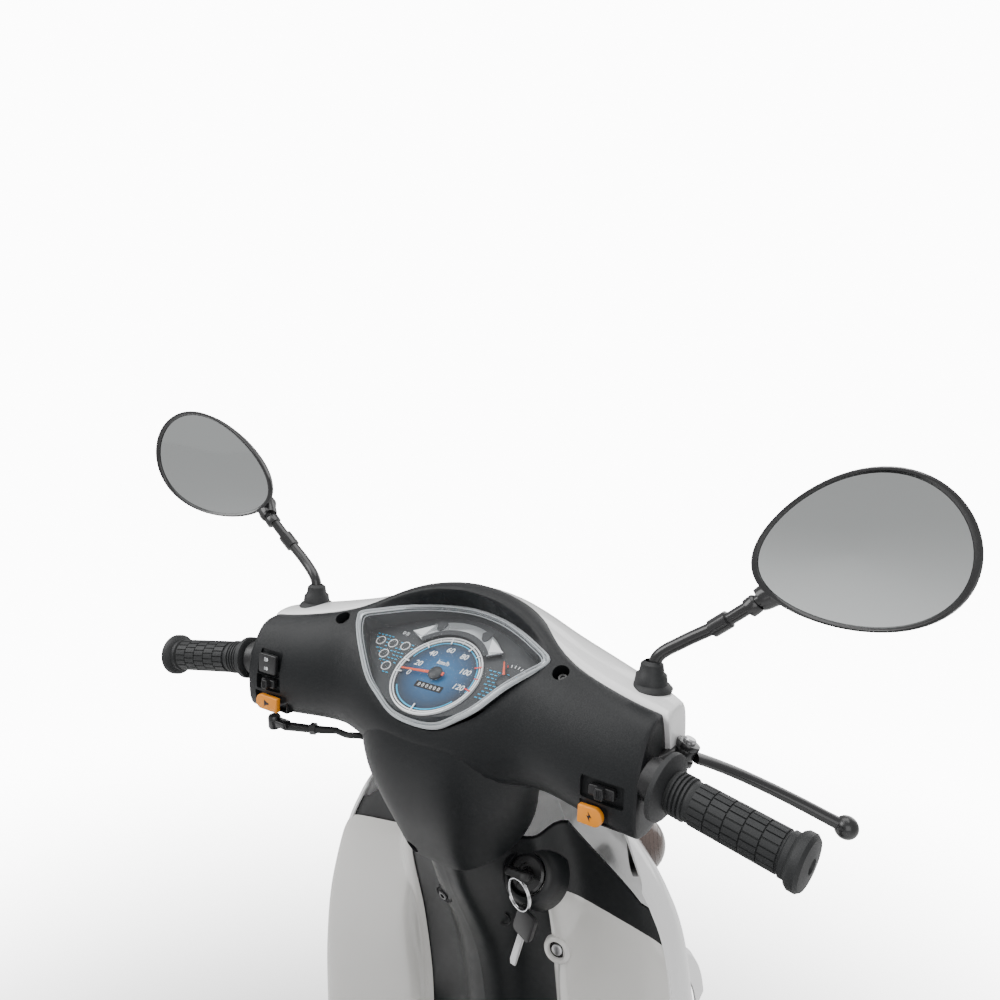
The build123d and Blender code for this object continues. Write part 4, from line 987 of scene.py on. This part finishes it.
def body_point(i, z):
    """Point i of the front body's outline at height z; i runs through the outline and may be fractional."""
    heights = [h for h, _ in FRONT_BODY]
    k = max(0, min(len(heights) - 2, sum(h <= z for h in heights) - 1))
    t = (z - heights[k]) / (heights[k + 1] - heights[k])
    rows = [FRONT_BODY[max(0, min(len(FRONT_BODY) - 1, k + d))][1] for d in (-1, 0, 1, 2)]
    j = min(int(i), 9)
    f = i - j
    out = []
    for axis in (0, 1):
        cols = []
        for row in rows:
            p = [row[max(0, min(10, j + d))][axis] for d in (-1, 0, 1, 2)]
            if axis == 1 and j == 0:
                p[0] = -p[2]
            cols.append(between(*p, f))
        out.append(between(*cols, t))
    return Vector((out[0], out[1], z))


def body_sheet(name, i0, i1, z0, z1, cols, rows, mat, side=1, lift=0.0, thick=2.4, top=None, bottom=None):
    """A sheet over part of the front body's surface, on one side."""
    rings = []
    for r in range(rows + 1):
        ring = []
        for c in range(cols + 1):
            i = i0 + (i1 - i0) * c / cols
            high, low = top(i) if top else z1, bottom(i) if bottom else z0
            z = low + (high - low) * r / rows
            p = body_point(i, z)
            e = 0.02
            du = body_point(min(i + e, 10), z) - body_point(max(i - e, 0), z)
            dv = body_point(i, z + 1) - body_point(i, z - 1)
            n = dv.cross(du).normalized()
            p = p + n * (lift(i, z) if callable(lift) else lift)
            ring.append(Vector((p.x, p.y * side, p.z)))
        rings.append(ring)
    o = loft(name, rings, mat, caps=False, closed=False)
    return solid(o, thick, 1.0 if side > 0 else -1.0)


def shield_top(i):
    """How high the body reaches at outline point i: the neck in the middle, then the sloping shoulder."""
    if i <= 3.0:
        return 925.0
    if i <= 4.0:
        return 925.0 - (i - 3.0) * 35.0
    return 890.0 - min(i - 4.0, 1.0) * 82.0 - max(0.0, i - 5.0) * 14.0


def mirrored(o, name):
    """The same piece on the other side."""
    me = o.data.copy()
    me.transform(Matrix.Scale(-1, 4, (0, 1, 0)))
    me.flip_normals()
    c = bpy.data.objects.new(name, me)
    bpy.context.scene.collection.objects.link(c)
    return c


# The black inner shield: the whole rear face, with white panels set into its lower part.
half = body_sheet("s", 0.0, 5.36, 296, 0, 60, 72, "shield_black", top=shield_top, lift=-0.4, thick=3.0)
half = trim(half, BODY_TOP, keep_above=False, close=False)
other = mirrored(half, "s")
shield_parts = [half, other]
for side in (1, -1):
    for y, z in [(36, 755), (36, 470), (36, 340)]:
        shield_parts.append(lathe("s", (body_point(1.75, z).x - 1.0, side * y, z), (-1, 0, 0),
                                  [(6, 0), (7.6, 0), (7.6, 2.0), (6, 1.2)],
                                  "shield_black", 28))
shield = join("leg_shield_skin", shield_parts)
put(shield, "chassis", "leg_shield_inner", slot="black_plastic", angle=48)
# The well's floor is a near-black disc around the screw: painted shade in the recess.
well = [lathe("s", (body_point(0.9, 776).x + 0.5, 18, 776), (-0.9, 0.1, -0.25),
              [(9.5, -6), (10.5, 0), (9.5, 1.4), (8.6, 0.4), (8.0, -3)], "shield_black", 36),
        lathe("s", (body_point(0.9, 776).x + 0.5, 18, 776), (-0.9, 0.1, -0.25),
              [(0.01, 0.1), (8.4, 0.1), (8.4, 0.5), (0.01, 0.5)], "hole_and_painted_shade", 32)]
put(join("shield_screw_well", well), "chassis", slot="black_plastic", angle=30)
screw("shield_screw_upper", (body_point(0.9, 776).x, 18, 776), (-0.9, 0.1, -0.25), 5.2, "chassis", 3.0,
      mat="paint")

# The raised ignition boss, its lock, key, ring and spare.
LOCK = Vector((262, -72, 822))
LOCK_OUT = Vector((-cos(radians(30)), 0, sin(radians(30))))
boss = [lathe("b", LOCK, LOCK_OUT, [(33, -14), (31, -4), (29, 4), (26.5, 9), (23.5, 11.5), (20.5, 12),
                                    (19.5, 10), (18.6, 4)],
              "shield_black", 64)]
put(join("ignition_boss", boss), "chassis", slot="black_plastic", angle=40)
lock = [lathe("b", LOCK, LOCK_OUT, [(17.6, -4), (17.6, 10.0), (15.5, 11.6), (9.5, 11.6), (9.0, 9.5),
                                    (6.4, 9.5), (6.4, 3), (0.01, 3)],
              "paint", 48)]
lock.append(plate("b", LOCK + LOCK_OUT * 9.6, (0, 1, 0), LOCK_OUT.cross(Vector((0, 1, 0))),
                  rounded(5.6, 1.6, 0.6), 0, 0.6, "steel"))
put(join("ignition_lock_face", lock), "chassis", "ignition_lock", slot="steel", angle=35)
KX = Vector((0, 1, 0))
key = [plate("k", LOCK + LOCK_OUT * 13, KX, LOCK_OUT, [(-4, -18), (4, -18), (4, 5), (-4, 5)], -1.1, 1.1,
             "steel", 0.3),
       plate("k", LOCK + LOCK_OUT * 13, KX, LOCK_OUT,
             [(-6, 3), (6, 3), (8, 6), (12, 8), (13.4, 14), (12.4, 21), (8, 24.6), (-8, 24.6), (-12.4, 21),
              (-13.4, 14), (-12, 8),
              (-8, 6)], -3.4, 3.4, "switch_black", 1.5)]
ring_at = LOCK + LOCK_OUT * 30 + Vector((-2, -4, -18))
ring_line = [ring_at + Vector((0.30 * 15 * cos(a * pi / 16), 15 * cos(a * pi / 16) * 0.95,
                               15 * sin(a * pi / 16))) for a in range(33)]
put(join("ignition_key_shown", key), "ignition_key", "ignition_key", slot="black_plastic", angle=35)
key = []
key.append(tube("k", [tuple(p) for p in ring_line], 1.1, "chrome", straight=True, segments=12))
ring_two = [p + Vector((-1.6, 0.2, 0)) for p in ring_line[3:30]]
key.append(tube("k", [tuple(p) for p in ring_two], 1.0, "chrome", straight=True, segments=12))
spare_at = ring_at + Vector((-3, -8, -26))
key.append(plate("k", spare_at, (0.3, 0.93, 0.2), (0.1, -0.24, 0.97), rounded(12, 13, 5), -2.4, 2.4,
                 "switch_black", 1.2))
key.append(plate("k", spare_at, (0.3, 0.93, 0.2), (0.1, -0.24, 0.97),
                 [(-4, -44), (2, -46), (4, -42), (4, -12), (-4, -12)], -0.9, 0.9,
                 "steel", 0.2))
put(join("key_ring_and_spare", key), "chassis", slot="steel", angle=35)


# White panels: below the sloping black band on each side, in a darker copy of the white plastic as painted
# shade.
def knee_top(i):
    return 808.0 - max(0.0, i - 3.25) * 16.0


def knee_bulge(i, z):
    u = (i - 4.6) / 1.75
    edge = max(0.0, 1 - abs(u) ** 6)
    low = min(1.0, max(0.0, (z - 352) / 40))
    high = min(1.0, max(0.0, (knee_top(i) - z) / 16))
    return -0.6 + 3.4 * edge ** 0.5 * min(low, high) ** 0.5


knees = []
for side, tag in [(1, "left"), (-1, "right")]:
    o = body_sheet("w", 2.85, 6.25, 352, 0, 44, 70, "knee_white_painted_shade", side=side, lift=knee_bulge, top=knee_top,
                   thick=2.0)
    boss_at = Vector((body_point(3.2, 739).x - 3, side * 92, 739 if side < 0 else 560))
    # Each boss has a near-black disc around its screw: painted shade in the recess.
    extra = [lathe("w", boss_at, (-1, side * 0.1, 0.1), [(15, -4), (14, 2), (12, 4.5), (9.5, 5),
                                                         (8.5, 3.5), (8.2, 0)], "knee_white_painted_shade", 40),
             lathe("w", boss_at, (-1, side * 0.1, 0.1), [(0.01, 0.4), (8.2, 0.4), (8.2, 0.9), (0.01, 0.9)],
                   "hole_and_painted_shade", 32),
             lathe("w", boss_at, (-1, side * 0.1, 0.1), [(0.01, 0.8), (5.4, 0.8), (5.4, 2.6), (4.4, 3.2),
                                                         (0.01, 3.2)], "steel", 24)]
    low_at = Vector((body_point(4.4, 420).x - 3, side * 140, 420))
    extra.append(lathe("w", low_at, (-1, 0, 0), [(12, -4), (11, 1), (9, 2.4), (7, 2.4), (6.8, 0.5),
                                                 (0.01, 0.5)], "knee_white_painted_shade", 36))
    extra.append(lathe("w", low_at, (-1, 0, 0), [(0.01, 0.5), (4.6, 0.6), (4.6, 2.2), (0.01, 2.6)],
                       "steel", 20))
    knees.append(join("knee_" + tag, [o, *extra]))
put(join("knee_panel_skins", knees), "chassis", "knee_panels", slot="white_plastic", angle=45)


def apron_top(i):
    return min(925.0, 820.0 + (i - 5.3) * 34.0)


def apron_foot(i):
    """The apron rises in front of the wheel, clear of the turning mudguard."""
    share = min(1.0, max(0.0, (i - 7.0) / 1.1))
    return 298.0 + (215.0 + 30.0 * max(0.0, i - 8.1) / 1.9) * share * share * (3 - 2 * share)


# The white apron in front, wrapping back around the shield's edge.
half = body_sheet("a", 5.3, 10.0, 298, 0, 64, 76, "white", top=apron_top, bottom=apron_foot, lift=0.4,
                  thick=2.4)
half = trim(half, BODY_TOP, keep_above=False)
apron_parts = [half, mirrored(half, "a")]
for side in (1, -1):
    tool = lathe("o", (372, side * 128, 815), (0.5, side * 0.8, 0.3),
                 [(0.01, -30), (31, -30), (31, 60), (0.01, 60)], "hole_and_painted_shade", 40)
    k = 0 if side > 0 else 1
    apron_parts[k] = cut(apron_parts[k], tool)
put(join("front_apron_skin", apron_parts), "chassis", "front_apron", slot="white_plastic", angle=45)

signals = []
for side in (1, -1):
    o = Vector((372, side * 128, 815))
    axis = Vector((0.35, side * 0.9, 0.15)).normalized()
    lens = [lathe("t", o, axis, [(30 * sin(radians(a)), 30 * cos(radians(a))) for a in range(96, -1, -6)],
                  "smoked", 64)]
    for k in range(7):
        h = 3 + 3.6 * k
        r = math.sqrt(max(1, 30 ** 2 - h ** 2))
        lens.append(lathe("t", o, axis, [(r - 0.4, h - 0.5), (r + 0.35, h), (r - 0.5, h + 0.5)], "smoked",
                          64))
    lens.append(lathe("t", o, axis, [(29, -5), (31.2, -4), (31.2, 0.6), (29.6, 1.2)], "paint", 64))
    signals.append(join("signal_lens", lens))
put(join("front_signal_lenses", signals), "chassis", "front_turn_signals", slot="smoked_lens", angle=40)

# ------------------------------------------------------------------ lamps
def lamp_rings(wide, high, sections):
    """Ovals about the headlight's axis, one for each X and share of the full size."""
    return [[Vector((x, wide * cos(pi * k / 24) * share, LAMP_Z + high * sin(pi * k / 24) * share))
             for k in range(48)] for x, share in sections]


LAMP_Z = 965
bowl = lamp_rings(74, 34, [(352, 0.12), (354, 0.35), (362, 0.62), (374, 0.88), (384, 1.0)])
lamp = [loft("h", bowl, "chrome", caps=False)]
lamp.append(lathe("h", (356, 0, LAMP_Z), (1, 0, 0), [(7, 0), (7, 6), (9, 7), (9, 14), (6, 19), (0.01, 21)],
                  "print", 32))
put(join("headlight_bowl", lamp), "steering", "headlight", slot="chrome", angle=40)
glass = lamp_rings(76, 36, [(372, 1.0), (380, 1.0), (385, 0.95), (389, 0.75), (391, 0.4), (391.5, 0.05)])
lens = loft("headlight_glass", glass, "lamp", caps=False)
put(lens, "steering", slot="lamp_lens", angle=50)
tail = []
for k in range(9):
    z = 606 + k * 9
    half_width = 60 + 4 * sin(pi * k / 8)
    tail.append(plate("t", (-828 + abs(k - 4) * 0.2, 0, z), (0, 1, 0), (0, 0, 1),
                      rounded(half_width, 3.2, 2.5), -2.5, 4.5, "red_lens", 1))
tail.append(plate("t", (-816, 0, 692), (0, 1, 0), (1, 0, 0), rounded(74, 15, 5), 0, 3, "paint", 1))
put(join("tail_lamp_flutes", tail), "chassis", slot="red_lens", angle=35)

# ------------------------------------------------------------------ wheels


def tyre_mesh(name, centre, body, node):
    c = Vector(centre)
    profile = [(132, -30), (136, -38), (150, -43.5), (170, -45), (188, -43.5), (199, -39), (206, -31),
               (210.5, -20), (212.5, 0),
               (210.5, 20), (206, 31), (199, 39), (188, 43.5), (170, 45), (150, 43.5), (136, 38),
               (132, 30), (130.4, 0), (132, -30)]
    made = [lathe("y", c, (0, 1, 0), profile, "tyre", 120)]
    for h, r in [(43.6, 152), (44.6, 160), (-43.6, 152), (-44.6, 160)]:
        made.append(lathe("y", c, (0, 1, 0), [(r - 1.2, h - 0.8), (r - 0.8, h + 0.5), (r + 0.8, h + 0.5),
                                              (r + 1.2, h - 0.8)], "tyre", 120))
    verts, faces = [], []
    blocks = 44
    bands = [(-33, -21, 0.0), (-18.5, -4, 0.35), (-1.5, 13, 0.7), (16, 33, 0.2)]
    for k in range(blocks):
        for low, high, shift in bands:
            a0 = 2 * pi * (k + shift) / blocks
            a1 = a0 + 2 * pi / blocks * 0.74
            slant = 0.02
            base = len(verts)
            for lift, pinch in ((-4.0, 0.0), (2.4, 0.7)):
                for h, a in [(low + pinch, a0), (high - pinch, a0 + slant), (high - pinch, a1 + slant),
                             (low + pinch, a1)]:
                    r = 212.4 - 0.0067 * h * h + lift
                    r = min(r, 214.8)
                    verts.append(c + Vector((r * cos(a), h, r * sin(a))))
            faces += [(base, base + 1, base + 2, base + 3), (base + 4, base + 7, base + 6, base + 5)]
            faces += [(base + q, base + 4 + q, base + 4 + (q + 1) % 4,
                       base + (q + 1) % 4) for q in range(4)]
    made.append(new("y", verts, faces, "tyre"))
    put(join(name, made), body, node, slot="tyre_rubber", angle=35)


tyre_mesh("front_tyre_tread", (620, 0, 215), "front_wheel", "front_tyre")
tyre_mesh("rear_tyre_tread", (-620, 0, 223), "rear_wheel", "rear_tyre")
for name, c, body, side in [("front", (620, 0, 215), "front_wheel", -1),
                            ("rear", (-620, 0, 223), "rear_wheel", -1)]:
    trim_bits = []
    for k in range(5):
        a = 2 * pi * k / 5 + pi / 2
        at = Vector(c) + Vector((44 * cos(a), 0, 44 * sin(a)))
        trim_bits.append(lathe("w", at + Vector((0, side * 5.5, 0)), (0, side, 0),
                               [(0.01, 0), (5.5, 0), (5.5, 4), (4.5, 5), (0.01, 5)], "steel", 6))
    stem = Vector(c) + Vector((121 * cos(pi / 2 + 0.63), 0, 121 * sin(pi / 2 + 0.63)))
    trim_bits.append(lathe("w", stem, Vector((-cos(pi / 2 + 0.63), -0.5, -sin(pi / 2 + 0.63))),
                           [(3.4, 0), (3.4, 12), (2.6, 13), (2.6, 20), (0.01, 21)], "rubber", 16))
    put(join(name + "_wheel_bolts", trim_bits), body, slot="steel", angle=35)

# ------------------------------------------------------------------ seat
SEAT = [
    (716, [(-26, 0), (-36, 66), (-84, 102), (-330, 130), (-500, 118), (-550, 88), (-560, 0)]),
    (728, [(-24, 0), (-34, 68), (-84, 104), (-330, 132), (-500, 120), (-552, 90), (-562, 0)]),
    (744, [(-28, 0), (-37, 69), (-84, 103), (-330, 129), (-500, 117), (-550, 87), (-560, 0)]),
    (760, [(-44, 0), (-54, 60), (-96, 90), (-330, 118), (-498, 106), (-542, 76), (-552, 0)]),
    (768, [(-74, 0), (-90, 44), (-130, 66), (-330, 94), (-488, 84), (-526, 58), (-536, 0)]),
    (771, [(-140, 0), (-150, 20), (-180, 34), (-330, 52), (-460, 46), (-484, 30), (-490, 0)]),
]


def seat_ring(points, z, steps=6):
    line = spline([(x, y, z) for x, y in points], steps)
    return line + [Vector((p.x, -p.y, p.z)) for p in reversed(line[1:-1])]


cushion = loft("seat_cushion_skin", [seat_ring(p, z) for z, p in SEAT], "vinyl")


def puff(o, voxel, pressure, cap, pinned):
    """Swells a pad with a short cloth simulation; pinned(co) holds a vertex still."""
    r = o.modifiers.new("r", "REMESH")
    r.mode = "VOXEL"
    r.voxel_size = voxel * MM
    bake(o)
    rest = [v.co.copy() for v in o.data.vertices]
    pins = o.vertex_groups.new(name="pins")
    pins.add([i for i, co in enumerate(rest) if pinned(co)], 1.0, "REPLACE")
    c = o.modifiers.new("c", "CLOTH")
    c.settings.quality = 5
    c.settings.mass = 0.3
    c.settings.use_pressure = True
    c.settings.uniform_pressure_force = pressure
    c.settings.vertex_group_mass = "pins"
    c.settings.effector_weights.gravity = 0.0
    c.collision_settings.use_collision = False
    scene = bpy.context.scene
    for f in range(1, 19):
        scene.frame_set(f)
    bake(o)
    scene.frame_set(1)
    for v, was in zip(o.data.vertices, rest):
        move = v.co - was
        if move.length > cap * MM:
            v.co = was + move.normalized() * cap * MM
    return o


puff(cushion, 7, 3.0, 6, lambda co: co.z < 0.722)
smoother = cushion.modifiers.new("m", "SMOOTH")
smoother.factor, smoother.iterations = 0.6, 12
bake(cushion)
for v in cushion.data.vertices:
    x, y, z = v.co / MM
    if z > 748:
        for at in (-250, -262):
            v.co.z -= 0.0028 * math.exp(-((x - at) / 5) ** 2)
        for at in (66, -66):
            v.co.z -= 0.0022 * math.exp(-((y - at) / 4) ** 2) * (1 if -500 < x < -120 else 0)
    v.co.z = min(v.co.z, 0.778)
cushion = subsurf(cushion, 1)
put(cushion, "seat", "seat_cushion", slot="seat_vinyl", angle=80)
piping = seat_ring([(x * 0.999, y * 1.008) for x, y in SEAT[2][1]], 747)
cord_bits = [tube("p", [tuple(p) for p in [*piping, piping[0]]], 2.4, "vinyl", straight=True, segments=10)]
stitch_line = seat_ring(SEAT[3][1], 758.5, 10)
for p, q in zip(stitch_line[::2], stitch_line[1::2]):
    d = q - p
    cord_bits.append(tube("p", [tuple(p + d * 0.15), tuple(p + d * 0.75)], 0.6, "print", straight=True,
                          segments=6))
put(join("seat_piping", cord_bits), "seat", slot="seat_vinyl", angle=60)

# ------------------------------------------------------------------ rear body
REAR_BODY = [
    (-76, [(130, 302), (153, 422), (152, 560), (121, 676), (108, 690)]),
    (-150, [(150, 302), (168, 430), (165, 560), (137, 678), (108, 692)]),
    (-260, [(162, 361), (176, 450), (168, 580), (140, 682), (108, 694)]),
    (-450, [(172, 441), (180, 500), (168, 600), (141, 686), (108, 698)]),
    (-650, [(160, 506), (166, 550), (150, 630), (130, 700), (108, 712)]),
    (-800, [(90, 576), (98, 605), (88, 660), (77, 714), (60, 725)]),
]
lines = [spline([(x, y, z) for y, z in points], 6) for x, points in REAR_BODY]
columns = [spline([line[k] for line in lines], 9) for k in range(len(lines[0]))]
rings = [[column[r] for column in columns] for r in range(len(columns[0]))]
flank = solid(loft("f", rings, "white", caps=False, closed=False), 3, 1.0)
deck_rows = []
for r, ring in enumerate(rings):
    edge = ring[-1]
    if edge.x < -564:
        deck_rows.append([Vector((edge.x, edge.y * (1 - k / 6),
                                  edge.z + 2.2 * sin(pi * k / 12))) for k in range(13)])
deck = solid(loft("f", deck_rows, "white", caps=False, closed=False), 3, 1.0)
panel_parts = [flank, mirrored(flank, "f"), deck]
put(join("side_panel_skins", panel_parts), "chassis", "side_panels", slot="white_plastic", angle=50)

# ------------------------------------------------------------------ carried-over pieces
LOOKS = {
    "steel": ["steering_stem", "headset_bearings", "handlebar", "shock_rod", "shock_spring"],
    "chrome": ["grab_rail"],
    "alu": ["front_rim", "rear_rim", "fork_sliders", "crankcase"],
    "paint": ["main_frame", "centre_stand", "kick_lever", "shock_body", "lever_perches"],
    "exhaust": ["exhaust"],
    "white": ["front_mudguard"],
    "shield_black": ["floorboard", "belly_cover", "seat_front_cover", "seat_base", "storage_bucket",
                     "rear_mudguard",
                     "air_filter_box", "cylinder_shroud", "battery", "fuel_tank"],
    "switch_black": ["switch_blocks"],
    "red_lens": ["tail_lamp"],
}
for look, nodes in LOOKS.items():
    for name in nodes:
        NODES[name].data.materials.clear()
        NODES[name].data.materials.append(M[look])

# Ribs on the floor mat, bolts and seams on the lower parts.
ribs = []
for k in range(15):
    y = -105 + k * 15
    ribs.append(plate("r", (60, y, 300), (1, 0, 0), (0, 1, 0), rounded(96, 2.6, 2.4), -0.8, 1.9, "rubber",
                      0.5))
put(join("floor_mat_ribs", ribs), "chassis", slot="rubber", angle=35)
bolts = []
for x, y, z, out in [(-560, -103, 300, -1), (-470, -103, 290, -1), (-640, 96, 262, 1), (-520, 96, 300, 1),
                     (-400, 96, 300, 1),
                     (-340, 96, 190, 1)]:
    bolts.append(lathe("b", (x, y * 0.9, z), (0, out, 0),
                       [(0.01, 0), (5.5, 0), (5.5, 4), (4.6, 5), (0.01, 5)], "steel", 6))
put(join("case_bolts", bolts), "engine_unit", slot="steel", angle=35)
seams = []
for side in (1, -1):
    line = [(-90, side * 156, 470), (-200, side * 170, 490), (-330, side * 175, 510),
            (-450, side * 176, 535), (-600, side * 167, 570)]
    seams.append(tube("s", line, 2.2, "white"))
put(join("side_panel_creases", seams), "chassis", slot="white_plastic", angle=60)

# ------------------------------------------------------------------ stage, camera, light
scene = bpy.context.scene
ground = new("ground", [(-9000, -9000, -0.6), (9000, -9000, -0.6), (9000, 9000, -0.6),
                        (-9000, 9000, -0.6)], [(0, 1, 2, 3)], None)
pale = shader("pale_floor", (0.93, 0.93, 0.93), 0.6, grain=0.02, mottle=0.02)
ground.data.materials.append(pale)


def white_out(tree, surface, output, factor, kind):
    """What the camera sees directly turns to plain white where factor is 1; the light stays as it was."""
    link = tree.links.new
    path = add(tree, "LightPath")
    both = add(tree, "Math", operation="MULTIPLY")
    both.inputs[1].default_value = 1.0
    glow = add(tree, kind, {"Color": (1, 1, 1, 1), "Strength": WHITE_OUT})
    mix = add(tree, "MixShader")
    link(path.outputs["Is Camera Ray"], both.inputs[0])
    if factor:
        link(factor, both.inputs[1])
    link(both.outputs["Value"], mix.inputs["Fac"])
    link(surface.outputs[0], mix.inputs[1])
    link(glow.outputs[0], mix.inputs[2])
    link(mix.outputs["Shader"], output.inputs["Surface"])


floor_tree = pale.node_tree
far = add(floor_tree, "VectorMath", operation="LENGTH")
fade = add(floor_tree, "MapRange", {"From Min": 0.7, "From Max": 2.4}, interpolation_type="SMOOTHSTEP")
floor_tree.links.new(add(floor_tree, "TexCoord").outputs["Object"], far.inputs[0])
floor_tree.links.new(far.outputs["Value"], fade.inputs["Value"])
white_out(floor_tree, floor_tree.nodes["Principled BSDF"], floor_tree.nodes["Material Output"],
          fade.outputs["Result"], "Emission")


def aim(o, at):
    o.rotation_euler = (Vector(at) - o.location).to_track_quat("-Z", "Y").to_euler()


def softbox(name, at, target, size, power, wide=None):
    light = bpy.data.lights.new(name, "AREA")
    light.shape = "RECTANGLE"
    light.size, light.size_y = size, wide or size
    light.energy = power
    o = bpy.data.objects.new(name, light)
    scene.collection.objects.link(o)
    o.location = at
    aim(o, target)
    return o


softbox("key_light", (-1.2, 2.2, 3.2), (0.2, 0, 0.8), 2.2, 80)
softbox("fill_light", (-2.4, -1.8, 2.2), (0.2, 0, 0.8), 2.6, 36)
softbox("top_light", (0.6, 0.2, 3.6), (0.1, 0, 0.6), 2.4, 50)
softbox("front_light", (3.4, -0.6, 1.8), (0.2, 0, 0.7), 2.6, 40)
world = bpy.data.worlds.new("studio")
scene.world = world
world.use_nodes = True
back = world.node_tree.nodes["Background"]
fill(back, {"Color": (1, 1, 1, 1), "Strength": 0.6})
white_out(world.node_tree, back, world.node_tree.nodes["World Output"], None, "Background")

camera = bpy.data.cameras.new("photo_view")
camera.lens = 30.6
camera.sensor_width = 36.0
camera.clip_start = 0.05
eye = bpy.data.objects.new("photo_view", camera)
scene.collection.objects.link(eye)
eye.location = (-0.3556, -0.4525, 1.3247)
yaw, pitch = radians(34.04), radians(11.02)
eye.rotation_euler = Vector((cos(yaw) * cos(pitch), sin(yaw) * cos(pitch),
                             -sin(pitch))).to_track_quat("-Z", "Y").to_euler()
scene.camera = eye
